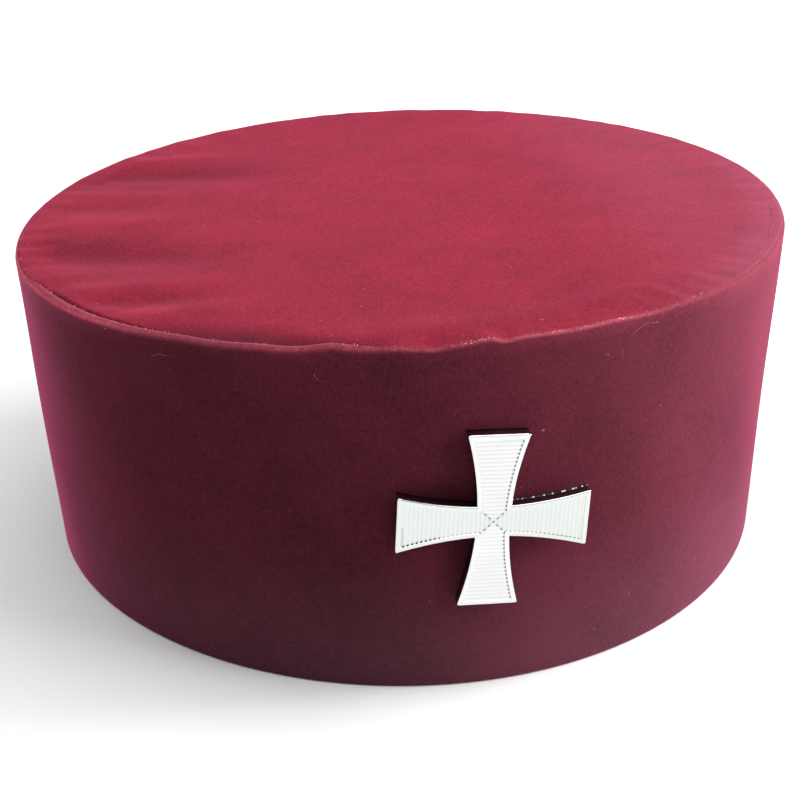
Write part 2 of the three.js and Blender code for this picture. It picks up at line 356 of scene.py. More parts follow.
class NodeSheet:
    """A material's node tree, filled a node at a time."""

    def __init__(self, name: str) -> None:
        """Makes a material that holds only a surface shader.

        Args:
            name: The material's name.
        """
        self.material = bpy.data.materials.new(name)
        self.material.use_nodes = True
        self.tree = self.material.node_tree
        self.shader = self.tree.nodes["Principled BSDF"]

    def add(self, kind: str, inputs: dict[Any, Any] | None = None, **settings: Any) -> bpy.types.Node:
        """Adds a node.

        Args:
            kind: The node's type.
            inputs: Value or output socket for each named or numbered input.
            **settings: The node's own settings.

        Returns:
            The new node.
        """
        made = self.tree.nodes.new(kind)
        for setting, value in settings.items():
            setattr(made, setting, value)
        for socket, value in (inputs or {}).items():
            self.put(made.inputs[socket], value)
        return made

    def put(self, socket: Socket, value: Any) -> None:
        """Links an output to a socket, or sets the socket's own value.

        Args:
            socket: The socket to fill.
            value: An output, or a plain value.
        """
        if isinstance(value, Socket):
            self.tree.links.new(value, socket)
        else:
            socket.default_value = value

    def surface(self, **values: Any) -> None:
        """Sets the shader's sockets, whose names have _ for a space."""
        for socket, value in values.items():
            self.put(self.shader.inputs[socket.replace("_", " ")], value)

    def math(self, operation: str, first: Any, second: Any = 0.0) -> Socket:
        """Adds a sum on one or two numbers and returns its output."""
        return self.add("ShaderNodeMath", {0: first, 1: second}, operation=operation).outputs[0]

    def total(self, start: Any, layers: list[tuple[Socket, float]]) -> Socket:
        """Adds weighted patterns up.

        Args:
            start: What the patterns are added to.
            layers: Each pattern and its weight.

        Returns:
            The sum.
        """
        for pattern, weight in layers:
            start = self.math("ADD", start, self.math("MULTIPLY", pattern, weight))
        return start

    def blend(self, share: Any, first: Any, second: Any) -> Socket:
        """Adds a blend of two colours and returns its output."""
        return self.add("ShaderNodeMix", {0: share, 6: first, 7: second}, data_type="RGBA").outputs[2]

    def place(self) -> Socket:
        """Returns the place of a point on its piece, in metres."""
        return self.add("ShaderNodeTexCoord").outputs["Object"]

    def mark(self, name: str) -> Socket:
        """Returns a number that the piece holds at each point."""
        return self.add("ShaderNodeAttribute", attribute_name=name).outputs["Fac"]

    def noise(self, place: Socket, grain: float, detail: float) -> Socket:
        """Adds clouds as wide as the grain in millimetres, with finer layers, from 0 to 1 about a half."""
        inputs = {"Vector": place, "Scale": 1.0 / (grain * MM), "Detail": detail}
        return self.add("ShaderNodeTexNoise", inputs).outputs[0]

    def spread(self, value: Any, low: float, high: float, start: float = 0.0, end: float = 1.0) -> Socket:
        """Adds a change of range, held at its ends, and returns its output."""
        places = {0: value, 1: low, 2: high, 3: start, 4: end}
        return self.add("ShaderNodeMapRange", places, clamp=True).outputs[0]

    def relief(self, height: Socket, depth: float, strength: float) -> Socket:
        """Adds a bump of a depth in millimetres and returns its normal."""
        inputs = {"Height": height, "Distance": depth * MM, "Strength": strength}
        return self.add("ShaderNodeBump", inputs).outputs[0]


def rgba(colour: Colour) -> tuple[float, float, float, float]:
    """Colour with full cover."""
    return (*colour, 1.0)


@dataclass(frozen=True)
class VelvetFinish:
    """Cut pile over a woven ground: dark seen straight on, bright seen along the surface.

    Turned pile is what a roll spreads open or a seam presses down. On the wall its colours also
    paint part of the roll's sheen, and on the top they paint the shade of the pressed crease.
    Cloud, brush, tuft, fibre and thread are grains in millimetres, and each weight is the grain's
    part in the lie of the pile.
    """

    name: str
    plane: ClothPlane
    deep: Colour
    bright: Colour
    turned_and_painted_deep: Colour
    turned_and_painted_bright: Colour
    worn: Colour
    sheen_tint: Colour
    sheen: float = 1.0
    sheen_roughness: float = 0.3
    roughness: float = 0.95
    gloss: float = 0.08
    # Colour of the painted sheen: a pale reflection painted into the pile.
    painted_sheen: Colour = (0.3, 0.28, 0.36)
    lint: Colour = (0.5, 0.3, 0.33)
    lint_grain: float = 1.3
    lint_from: float = 0.79
    lint_soft: float = 0.06
    lint_share: float = 0.2
    cloud: float = 26.0
    brush: float = 9.0
    tuft: float = 1.1
    fibre: float = 0.3
    thread: float = 0.75
    streak: float = 1.8
    cloud_weight: float = 0.65
    brush_weight: float = 0.55
    tuft_weight: float = 0.45
    fibre_weight: float = 1.6
    weave_weight: float = 0.4
    contrast: float = 0.9
    turned_break: float = 0.2
    tuft_range: Range = (0.3, 0.7)
    bump: float = 0.55
    pile_depth: float = 0.14
    fibre_height: float = 0.9
    tuft_height: float = 0.1
    weave_height: float = 0.06
    lean: tuple[float, float, float] = (1.0, 1.0, 1.0)

    def cloth_place(self, sheet: NodeSheet) -> tuple[Socket, Socket]:
        """Distances along the cloth's two thread directions, in metres.

        On the wall they are the angle from the front times the base radius, and the height. On
        the top they are X and Y.

        Args:
            sheet: The node tree to add to.

        Returns:
            The two distances.
        """
        parts = sheet.add("ShaderNodeSeparateXYZ", {0: sheet.place()}).outputs
        if self.plane is ClothPlane.ACROSS_THE_TOP:
            return parts[0], parts[1]
        front = sheet.math("MULTIPLY", parts[1], -1.0)
        angle = sheet.math("ARCTAN2", parts[0], front)
        return sheet.math("MULTIPLY", angle, CapForm().base_radius * MM), parts[2]

    def weave(self, sheet: NodeSheet) -> Socket:
        """Uneven grid of the ground's threads, drawn out along each of the two directions.

        Args:
            sheet: The node tree to add to.

        Returns:
            The sum of two clouds, each a thread wide one way and a streak long the other way.
        """
        along, across = self.cloth_place(sheet)
        long_way = self.thread / self.streak
        warp = {0: along, 1: sheet.math("MULTIPLY", across, long_way)}
        weft = {0: sheet.math("MULTIPLY", along, long_way), 1: across}
        threads = []
        for parts in (warp, weft):
            place = sheet.add("ShaderNodeCombineXYZ", parts).outputs[0]
            threads.append(sheet.noise(place, self.thread, detail=0.0))
        return sheet.math("ADD", *threads)

    def material(self) -> bpy.types.Material:
        """Builds the velvet: clouds, brushed patches, tufts, fibres and weave shade the pile.

        The lie of the pile is the mark of nap and painted shading, and the weighted patterns. It sets
        the share between a deep and a bright colour. The other marks blend in turned pile with its
        painted sheen and shade, a painted sheen, and worn pile.

        Returns:
            The material.
        """
        sheet = NodeSheet(self.name)
        place = sheet.place()
        leant = sheet.add("ShaderNodeMapping", {"Vector": place, "Scale": self.lean}).outputs[0]
        tuft = sheet.noise(leant, self.tuft, detail=2.0)
        fibre = sheet.noise(leant, self.fibre, detail=1.0)
        weave = self.weave(sheet)
        layers = [
            (sheet.noise(place, self.cloud, detail=3.0), self.cloud_weight),
            (sheet.noise(place, self.brush, detail=4.0), self.brush_weight),
            (tuft, self.tuft_weight),
            (fibre, self.fibre_weight),
            (weave, self.weave_weight),
        ]
        # The nap mark carries painted light and shade as well as the pile's lie.
        lie_and_shading = sheet.total(sheet.mark("nap_and_painted_shading"), layers)
        # A pattern's middle is a half. The weave is two patterns, so it counts twice.
        middle = (sum(weight for _, weight in layers) + self.weave_weight) / 2.0
        share = sheet.spread(lie_and_shading, middle - self.contrast / 2.0, middle + self.contrast / 2.0)
        plain = sheet.blend(share, rgba(self.deep), rgba(self.bright))
        # Turned pile carries painted sheen on the roll and painted shade in the top's crease.
        turned = sheet.blend(share, rgba(self.turned_and_painted_deep), rgba(self.turned_and_painted_bright))
        least = 1.0 - self.turned_break
        uneven = sheet.spread(tuft, *self.tuft_range, least, 1.0 + self.turned_break)
        colour = sheet.blend(sheet.math("MULTIPLY", sheet.mark("turned"), uneven), plain, turned)
        speck = sheet.noise(place, self.lint_grain, detail=1.0)
        linty = sheet.spread(speck, self.lint_from, self.lint_from + self.lint_soft, 0.0, self.lint_share)
        colour = sheet.blend(linty, colour, rgba(self.lint))
        # A painted sheen blends in.
        colour = sheet.blend(sheet.mark("painted_sheen"), colour, rgba(self.painted_sheen))
        colour = sheet.blend(sheet.mark("wear"), colour, rgba(self.worn))
        heights = [(fibre, self.fibre_height), (tuft, self.tuft_height), (weave, self.weave_height)]
        normal = sheet.relief(sheet.total(0.0, heights), self.pile_depth, self.bump)
        sheet.surface(Base_Color=colour, Normal=normal, Roughness=self.roughness)
        sheet.surface(Specular_IOR_Level=self.gloss, Sheen_Weight=self.sheen)
        sheet.surface(Sheen_Roughness=self.sheen_roughness, Sheen_Tint=rgba(self.sheen_tint))
        return sheet.material


@dataclass(frozen=True)
class ReverseFinish:
    """Plain woven cloth on the inside of the cap."""

    name: str = "reverse_cloth"
    light: Colour = (0.16, 0.04, 0.06)
    dark: Colour = (0.07, 0.014, 0.024)
    thread: float = 0.7
    thread_depth: float = 0.05
    thread_share: float = 0.12
    bump: float = 0.6
    fleck: float = 1.4
    fleck_range: Range = (0.25, 0.8)
    roughness: float = 0.9
    gloss: float = 0.2

    def material(self) -> bpy.types.Material:
        """Builds the cloth: threads are the sum of sines along X, Y and Z, with uneven flecks.

        Returns:
            The material.
        """
        sheet = NodeSheet(self.name)
        place = sheet.place()
        parts = sheet.add("ShaderNodeSeparateXYZ", {0: place}).outputs
        turn = 2.0 * np.pi / (self.thread * MM)
        waves = [sheet.math("SINE", sheet.math("MULTIPLY", part, turn)) for part in parts]
        weave = sheet.math("ADD", sheet.math("ADD", waves[0], waves[1]), waves[2])
        fleck = sheet.noise(place, self.fleck, detail=4.0)
        share = sheet.spread(sheet.total(fleck, [(weave, self.thread_share)]), *self.fleck_range)
        colour = sheet.blend(share, rgba(self.dark), rgba(self.light))
        normal = sheet.relief(weave, self.thread_depth, self.bump)
        sheet.surface(Base_Color=colour, Normal=normal, Roughness=self.roughness)
        sheet.surface(Specular_IOR_Level=self.gloss)
        return sheet.material


@dataclass(frozen=True)
class MetalFinish:
    """Plated metal with fine handling marks, a painted green reflection and painted shade where it is
    marked.
    """

    name: str
    clean: Colour
    dull: Colour
    smooth: float
    rough: float
    # Colours of the painted shade and of the painted green reflection.
    painted_shade: Colour = (0.02, 0.018, 0.022)
    cast: Colour = (0.6, 0.628, 0.611)
    dull_range: Range = (0.35, 0.7)
    rough_range: Range = (0.3, 0.75)
    cloud: float = 6.0
    cloud_weight: float = 0.7
    scuff: float = 0.5
    scuff_weight: float = 0.3
    scuff_depth: float = 0.01
    bump: float = 0.3

    def material(self) -> bpy.types.Material:
        """Builds the metal: clouds and scuffs dull it, and two marks blend in a painted green reflection
        and painted shade.

        Returns:
            The material.
        """
        sheet = NodeSheet(self.name)
        place = sheet.place()
        cloud = sheet.noise(place, self.cloud, detail=4.0)
        scuff = sheet.noise(place, self.scuff, detail=3.0)
        worn = sheet.total(0.0, [(cloud, self.cloud_weight), (scuff, self.scuff_weight)])
        dulled = sheet.spread(worn, *self.dull_range)
        colour = sheet.blend(dulled, rgba(self.clean), rgba(self.dull))
        # A painted green reflection and painted shade blend in.
        colour = sheet.blend(sheet.mark("cast"), colour, rgba(self.cast))
        colour = sheet.blend(sheet.mark("painted_shade"), colour, rgba(self.painted_shade))
        gloss = sheet.spread(worn, *self.rough_range, self.smooth, self.rough)
        normal = sheet.relief(scuff, self.scuff_depth, self.bump)
        sheet.surface(Base_Color=colour, Roughness=gloss, Normal=normal, Metallic=1.0)
        return sheet.material


@dataclass(frozen=True)
class ThreadFinish:
    """Sewing thread, loose pile and lint."""

    name: str
    light: Colour
    dark: Colour
    pale: Colour = (0.95, 0.78, 0.82)
    fleck: float = 0.6
    fleck_range: Range = (0.3, 0.7)
    roughness: float = 0.75
    sheen: float = 0.4
    gloss: float = 0.3

    def material(self) -> bpy.types.Material:
        """Builds the thread: fine flecks between its two colours, paler where it is marked.

        Returns:
            The material.
        """
        sheet = NodeSheet(self.name)
        fleck = sheet.noise(sheet.place(), self.fleck, detail=3.0)
        share = sheet.spread(fleck, *self.fleck_range)
        colour = sheet.blend(share, rgba(self.dark), rgba(self.light))
        colour = sheet.blend(sheet.mark("pale"), colour, rgba(self.pale))
        sheet.surface(Base_Color=colour, Roughness=self.roughness, Specular_IOR_Level=self.gloss)
        sheet.surface(Sheen_Weight=self.sheen, Sheen_Tint=rgba(self.light))
        return sheet.material


@dataclass(frozen=True)
class FloorFinish:
    """Plain pale studio floor, whose glow starts and is whole at two distances in metres."""

    name: str = "floor_paint"
    pale: Colour = (0.45, 0.45, 0.45)
    paler: Colour = (0.47, 0.47, 0.47)
    cloud: float = 400.0
    glow_start: float = 0.9
    glow_end: float = 2.2
    roughness: float = 0.9
    gloss: float = 0.1

    def material(self) -> bpy.types.Material:
        """Builds the floor: two close greys in broad clouds, with a glow far off where the lights fade.

        Returns:
            The material.
        """
        sheet = NodeSheet(self.name)
        place = sheet.place()
        cloud = sheet.noise(place, self.cloud, detail=2.0)
        away = sheet.add("ShaderNodeVectorMath", {0: place}, operation="LENGTH").outputs["Value"]
        glow = sheet.spread(away, self.glow_start, self.glow_end)
        grey = sheet.blend(cloud, rgba(self.pale), rgba(self.paler))
        sheet.surface(Base_Color=grey, Roughness=self.roughness, Specular_IOR_Level=self.gloss)
        sheet.surface(Emission_Color=WHITE, Emission_Strength=glow)
        return sheet.material


@dataclass(frozen=True)
class PlanLobe:
    """One swell of the plan, repeated count times, at the base rim and at the crown."""

    count: int
    base: float
    base_peak: float
    crown: float
    crown_peak: float


@dataclass(frozen=True)
class EdgeWave:
    """One rise and fall of the rolled edge, repeated count times."""

    count: int
    rise: float
    peak: float


@dataclass(frozen=True)
class CapForm:
    """Sizes that the cap's pieces share.

    The front is the handled stretch of the edge, and the rubbed stretch is worn and drawn tight.
    The seam lies open along one stretch and shows as a faint line along another.
    """

    girth: float = 580.0
    wall: float = 3.0
    height: float = 83.4
    flare: float = 3.6
    clearance: float = 0.3
    lap: float = 2.2
    wide_lap: float = 0.2
    seam_gap: float = 0.1
    tightness: float = 0.6
    front: Crest = Crest(-92.0, 48.0)
    rubbed: Crest = Crest(-78.0, 20.0)
    open_seam: Stretch = Stretch(-166.0, -151.0, -114.0, -97.0)
    line_seam: Stretch = Stretch(-48.0, -40.0, -22.0, -14.0)
    ripple: RoundNoise = RoundNoise(11, 9, 60, 0.07)
    unevenness: RoundNoise = RoundNoise(12, 7, 40, 0.08)
    stillness: float = 0.3
    lobes: tuple[PlanLobe, ...] = (
        PlanLobe(2, 0.4, 39.0, 0.45, 47.0),
        PlanLobe(3, 1.3, 48.0, 0.75, -13.0),
        PlanLobe(4, 0.25, -23.0, 0.35, 34.0),
    )
    waves: tuple[EdgeWave, ...] = (
        EdgeWave(2, 0.65, 65.0),
        EdgeWave(3, 0.15, 18.0),
        EdgeWave(4, 0.15, -6.0),
    )
    bumps: tuple[Crest, ...] = (
        Crest(-113.5, 3.0, -0.3),
        Crest(-108.5, 2.6, 0.5),
        Crest(-104.0, 2.6, -0.25),
        Crest(-96.5, 3.2, -0.75),
        Crest(-89.8, 1.4, 0.45),
        Crest(-87.8, 1.2, -0.35),
    )

    @property
    def roll(self) -> float:
        """Radius of the wall's rolled top edge."""
        return self.wall / 2.0

    @property
    def base_radius(self) -> float:
        """Outer radius of the base rim before its lobes."""
        return self.girth / (2.0 * np.pi) + self.wall

    @property
    def crown_radius(self) -> float:
        """Outer radius of the crown before its lobes."""
        return self.base_radius + self.flare

    @property
    def seam_radius(self) -> float:
        """Radius of the top panel before its lobes."""
        return self.crown_radius - self.wall - self.clearance

    def wall_radius(self, angle: Array, share: Array | float = 1.0) -> Array:
        """Outer radius of the wall: a straight blend from the lobed base to the lobed crown.

        Args:
            angle: Angle from +X, in radians.
            share: Share of the height.

        Returns:
            The radius.
        """
        base = np.full(np.shape(angle), self.base_radius)
        crown = np.full(np.shape(angle), self.crown_radius)
        for lobe in self.lobes:
            base = base + lobe.base * np.cos(lobe.count * (angle - np.radians(lobe.base_peak)))
            crown = crown + lobe.crown * np.cos(lobe.count * (angle - np.radians(lobe.crown_peak)))
        return base + (crown - base) * share

    def edge_rise(self, angle: Array, share: Array | float = 1.0) -> Array:
        """Rise of the rolled edge, which fades inwards as the radius share to the wave's count.

        Args:
            angle: Angle from +X, in radians.
            share: Share of the radius.

        Returns:
            The rise.
        """
        rise = np.zeros(np.broadcast(angle, share).shape)
        for wave in self.waves:
            swing = np.cos(wave.count * (angle - np.radians(wave.peak)))
            rise = rise + wave.rise * swing * share**wave.count
        return rise

    def unrest(self, angle: Array) -> Array:
        """How much of its ripple the edge shows: all at the handled front, less elsewhere."""
        return self.stillness + (1.0 - self.stillness) * self.front.at(angle)

    def edge_ripple(self, angle: Array) -> Array:
        """Way out of the edge's soft ripple."""
        return self.ripple.at(angle) * self.unrest(angle)

    def edge_bumps(self, angle: Array) -> Array:
        """Small rises and notches of the rolled edge: soft noise and the sum of the bumps."""
        return self.unevenness.at(angle) * self.unrest(angle) + sum(bump.at(angle) for bump in self.bumps)

    def panel_depth(self, angle: Array) -> Array:
        """Depth of the top panel's edge in from the wall's face: it laps over except at the open seam."""
        lap = self.lap + self.wide_lap * (1.0 - self.front.at(angle))
        return self.wall + self.seam_gap - lap * (1.0 - self.open_seam.share(angle))


@dataclass(frozen=True)
class PaintedShadingBand:
    """One upright band of painted light and shade on the wall: its middle and half width, and its shade at
    base and crown.

    Between the two the shade changes as the share of the height to the given power.
    """

    angle: float
    half_angle: float
    base: float
    crown: float
    power: float = 1.0


@dataclass(frozen=True)
class PaintedShadowPatch:
    """One soft patch of painted shadow on the wall beside the badge."""

    angle: float
    height: float
    half_angle: float
    half_height: float
    depth: float


@dataclass(frozen=True)
class PaintedRollSheen:
    """What one stretch adds to the roll's painted sheen over its turned pile: its strength, its level depth
    and its fade.
    """

    strength: float = 0.0
    level: float = 0.0
    fade: float = 0.0


@dataclass
class SideWall:
    """The stiff velvet band: flared outside, rolled top edge, plain inside and flat base rim."""

    form: CapForm
    columns: int = 720
    outer_steps: int = 30
    inner_steps: int = 12
    roll_steps: int = 20
    edge_steps: int = 15
    hem_steps: int = 4
    hem_round: float = 0.8
    sharp: float = 50.0
    roll_reach: float = 5.0
    tight_reach: float = 12.0
    seam_fill: float = 0.85
    step_gap: float = 0.03
    step_depth: float = 3.2
    dents: RoundNoise = RoundNoise(13, 4, 14, 0.16)
    dent_lean: float = 0.35
    badge_rest: Crest = Crest(-90.0, 16.0)
    on_top: float = 0.3
    wide_on_top: float = 0.25
    turn_over: float = 0.5
    left_roll: Stretch = Stretch(-225.0, -185.0, -148.0, -124.0)
    right_roll: Stretch = Stretch(-76.0, -56.0, 5.0, 45.0)
    wide_start: float = -64.0
    wide_full: float = -52.0
    front_roll: Crest = Crest(-80.0, 14.0)
    corner_roll: Crest = Crest(-49.0, 7.0)
    # Painted sheen of the roll, by stretch.
    plain_look: PaintedRollSheen = PaintedRollSheen(strength=0.6, level=0.05, fade=0.5)
    left_look: PaintedRollSheen = PaintedRollSheen(strength=0.4, level=0.55)
    right_look: PaintedRollSheen = PaintedRollSheen(strength=-0.42, level=0.2, fade=0.4)
    wide_look: PaintedRollSheen = PaintedRollSheen(level=0.7, fade=0.3)
    front_look: PaintedRollSheen = PaintedRollSheen(strength=-0.1, fade=0.4)
    corner_look: PaintedRollSheen = PaintedRollSheen(fade=1.2)
    worn_reach: float = 1.2
    soft_wear: Band = Band(0.9, 0.75)
    soft_worn: Crest = Crest(-132.0, 28.0, 0.03)
    thin_wear: Band = Band(0.85, 0.4)
    thin_worn: float = 0.16
    wear_patches: RoundNoise = RoundNoise(14, 90, 300)
    patches_from: float = -1.2
    patches_full: float = 1.4
    # Painted reflection of the floor on the lower wall.
    painted_sheen_share: float = 0.035
    painted_sheen_height: float = 0.5
    pile_noise: RoundNoise = RoundNoise(15, 3, 16, 0.1)
    pile_lean: float = 0.5
    # Upright bands of painted light and shade round the wall.
    painted_shading_bands: tuple[PaintedShadingBand, ...] = (
        PaintedShadingBand(-160.0, 9.0, -0.15, -0.0375),
        PaintedShadingBand(-160.0, 13.0, -0.26, 0.0),
        PaintedShadingBand(-140.0, 14.0, 0.14, 0.14),
        PaintedShadingBand(-106.0, 10.0, -0.1, -0.1),
        PaintedShadingBand(-84.0, 9.0, 0.22, 0.22),
        PaintedShadingBand(-61.0, 9.0, 0.0, 0.2, power=2.0),
        PaintedShadingBand(-58.0, 18.0, 0.22, 0.22),
        PaintedShadingBand(-42.0, 20.0, 0.0, 0.15),
        PaintedShadingBand(-42.0, 22.0, -0.38, 0.0),
    )
    # Painted shadows of the badge on the wall.
    painted_badge_shadows: tuple[PaintedShadowPatch, ...] = (
        PaintedShadowPatch(-95.2, 49.5, 3.4, 3.6, 0.8),
        PaintedShadowPatch(-93.6, 34.5, 1.9, 7.0, 0.8),
    )

    def profile(self) -> tuple[Array, int]:
        """Section of the wall as depth in from its outer face and height, closed on itself.

        Returns:
            The section's points and how many of them, from the start, are velvet.
        """
        form = self.form
        hem = self.hem_round
        hem_out = arc_points((hem, hem), hem, 270.0, 180.0, self.hem_steps)
        over = arc_points((form.roll, form.height - form.roll), form.roll, 180.0, 0.0, self.roll_steps)
        hem_in = arc_points((form.wall - hem, hem), hem, 0.0, -90.0, self.hem_steps)
        rise = line_points(hem_out[-1], over[0], self.outer_steps)
        fall = line_points(over[-1], hem_in[0], self.inner_steps)
        velvet = len(hem_out) + len(rise) + len(over)
        return np.concatenate([hem_out, rise, over, fall, hem_in]), velvet

    def surface(self) -> Surface:
        """Carries the section round the lobed plan, with a soft ripple along its rolled edge.

        Radius is the wall's radius less the depth, with soft dents. Near the top a ripple moves
        it in and out, and the edge's waves and small bumps move it up and down.

        Returns:
            The wall, with the marks of its pile and of its painted light and shade at each point.
        """
        form = self.form
        section, velvet = self.profile()
        angle = cap_angles(self.columns)
        depth, height, lowered = self.stepped(angle, section)
        share = height / form.height
        near_top = smooth_step(height, form.height - self.roll_reach, form.height)
        dents = self.dents.at(angle + self.dent_lean * share) * np.sin(np.pi * np.clip(share, 0.0, 1.0))
        dents = dents * (1.0 - self.badge_rest.at(angle))
        radius = form.wall_radius(angle, share) - depth + dents + near_top * form.edge_ripple(angle)
        level = height + share * form.edge_rise(angle) + near_top * form.edge_bumps(angle)
        level = level + self.tighten(angle, depth, height) * ~lowered
        level = level - np.maximum(height - form.height + self.step_depth, 0.0) * lowered
        points = round_points(radius, angle, level)
        faces = grid_faces(len(section), self.columns, True, True)
        band = (velvet - 1 - self.edge_steps) * self.columns
        end = (velvet - 1) * self.columns
        # The nap mark also carries painted light and shade, the turned mark part of the roll's painted
        # sheen, and the last mark the floor's painted reflection.
        marks = {
            "wear": self.wear(angle, depth, height),
            "nap_and_painted_shading": self.nap_and_painted_shading(angle, height),
            "turned": self.turned(angle, depth, height),
            "painted_sheen": self.painted_sheen(height),
        }
        parts = [faces[:band], faces[band:end], faces[end:]]
        return Surface(points.reshape(-1, 3), parts, [0, 1, 2], marks)

    def stepped(self, angle: Array, section: Array) -> tuple[Array, Array, Array]:
        """The section at each angle, with a step in the roll where the top panel's edge laps over it.

        The last point before the panel's edge and the first one past it both move to the edge, so
        that the step is upright.

        Args:
            angle: Angles round the wall, in radians.
            section: The wall's section.

        Returns:
            The depth and height of each point, and whether it drops to the step.
        """
        roll = self.form.roll
        springing = self.form.height - roll
        count = len(section)
        depth, height = (np.repeat(column[:, None], angle.size, axis=1) for column in section.T)
        start = self.form.panel_depth(angle) - self.step_gap
        past = (depth >= start) & (height > springing - NEAR)
        number = np.arange(count)[:, None]
        first = np.where(past.any(axis=0), np.argmax(past, axis=0), count)[None, :]
        moved = (number == first - 1) & (first < count) | (number == first)
        depth = np.where(moved, start, depth)
        crest = springing + np.sqrt(np.clip(roll**2 - (depth - roll) ** 2, 0.0, None))
        return depth, np.where(moved, crest, height), number >= first

    def tighten(self, angle: Array, depth: Array, height: Array) -> Array:
        """Rise of the roll's two sides.

        The outer side is drawn up into a tight edge where it is rubbed. The inner side is filled
        where the seam is closed. Each rises by a share of its drop below the crest, which fades
        down the wall.

        Args:
            angle: Angles round the wall, in radians.
            depth: Depth of each point in from the outer face.
            height: Height of each point.

        Returns:
            The rise at each point.
        """
        form = self.form
        drop = np.minimum(form.height - height, form.roll)
        fade = smooth_step(height, form.height - self.tight_reach, form.height - form.roll)
        drawn = form.tightness * form.rubbed.at(angle)
        filled = self.seam_fill * (1.0 - form.open_seam.share(angle))
        return np.where(depth < form.roll, drawn, filled) * drop * fade

    def turned(self, angle: Array, depth: Array, height: Array) -> Array:
        """Share of turned pile with the roll's painted sheen: part of it on top, most on the outer side,
        none below.

        Each stretch adds its own strength, level depth and fade length. Below the level depth the
        share falls by e in each fade length.

        Args:
            angle: Angles round the wall, in radians.
            depth: Depth of each point in from the outer face.
            height: Height of each point.

        Returns:
            The share at each point.
        """
        right = self.right_roll.share(angle)
        wide = right * smooth_step(np.degrees(angle), self.wide_start, self.wide_full)
        parts = (
            (self.plain_look, np.ones_like(angle)),
            (self.left_look, self.left_roll.share(angle)),
            (self.right_look, right),
            (self.wide_look, wide),
            (self.front_look, self.front_roll.at(angle)),
            (self.corner_look, self.corner_roll.at(angle)),
        )
        strength, level, fade = sum(np.array(astuple(look))[:, None, None] * share for look, share in parts)
        below = self.form.height - height
        on_top = self.on_top + self.wide_on_top * wide
        spread = on_top + (1.0 - on_top) * smooth_step(below, 0.0, self.turn_over)
        outer = spread * np.exp(-np.maximum(below - level, 0.0) / fade)
        share = np.where(depth >= self.form.roll, self.on_top, strength * outer)
        return np.clip(share, 0.0, 1.0).ravel()

    def wear(self, angle: Array, depth: Array, height: Array) -> Array:
        """Paleness of the pile along the roll's crest: slight at the left, rubbed at the front right.

        Args:
            angle: Angles round the wall, in radians.
            depth: Depth of each point in from the outer face.
            height: Height of each point.

        Returns:
            The share of worn colour at each point.
        """
        high = height > self.form.height - self.worn_reach
        patches = smooth_step(self.wear_patches.at(angle), self.patches_from, self.patches_full)
        soft = self.soft_wear.at(depth) * self.soft_worn.at(angle)
        thin = self.thin_wear.at(depth) * self.thin_worn * self.form.rubbed.at(angle) * patches
        return (high * (soft + thin)).ravel()

    def nap_and_painted_shading(self, angle: Array, height: Array) -> Array:
        """Lie of the pile with painted shading: soft random patches that lean as they rise, upright bands
        of painted light and shade, and painted shadows beside the badge.

        Args:
            angle: Angles round the wall, in radians.
            height: Height of each point.

        Returns:
            The shift of the pile's shade at each point.
        """
        share = height / self.form.height
        turn = np.degrees(angle)
        shade = self.pile_noise.at(angle + self.pile_lean * share)
        # Bands of painted light and shade.
        for band in self.painted_shading_bands:
            change = band.base + (band.crown - band.base) * share**band.power
            shade = shade + bell(turn, band.angle, band.half_angle) * change
        # Painted shadows beside the badge.
        for dark in self.painted_badge_shadows:
            near = bell(turn, dark.angle, dark.half_angle) * bell(height, dark.height, dark.half_height)
            shade = shade - dark.depth * near
        return shade.ravel()

    def painted_sheen(self, height: Array) -> Array:
        """Share of painted sheen: the floor's pale reflection painted on the lower part of the wall, fading
        upwards.
        """
        upper = smooth_step(height, 0.0, self.painted_sheen_height * self.form.height)
        return self.painted_sheen_share * (1.0 - upper).ravel()

    def dress(self, cloth: dict[str, bpy.types.Material]) -> bpy.types.Object:
        """Makes the wall's piece.

        Args:
            cloth: The finishes by name: the pile of the outside, of the rolled edge, and the inside.

        Returns:
            The wall.
        """
        used = [cloth[name] for name in ("burgundy_wall_pile", "rolled_edge_pile", "reverse_cloth")]
        wall = self.surface().piece("velvet_wall", used, self.sharp)
        fit(wall, Node.SIDE_WALL)
        return wall


@dataclass(frozen=True)
class TopFold:
    """One soft fold of the top panel, pulled in from its left edge along +X."""

    start: float
    slope: float
    rise: float
    half_width: float
    reach: float


@dataclass(frozen=True)
class PaintedShadePatch:
    """One patch of painted shade on the top panel: its middle, its half widths and its change of shade."""

    x: float
    y: float
    half_x: float
    half_y: float
    shade: float


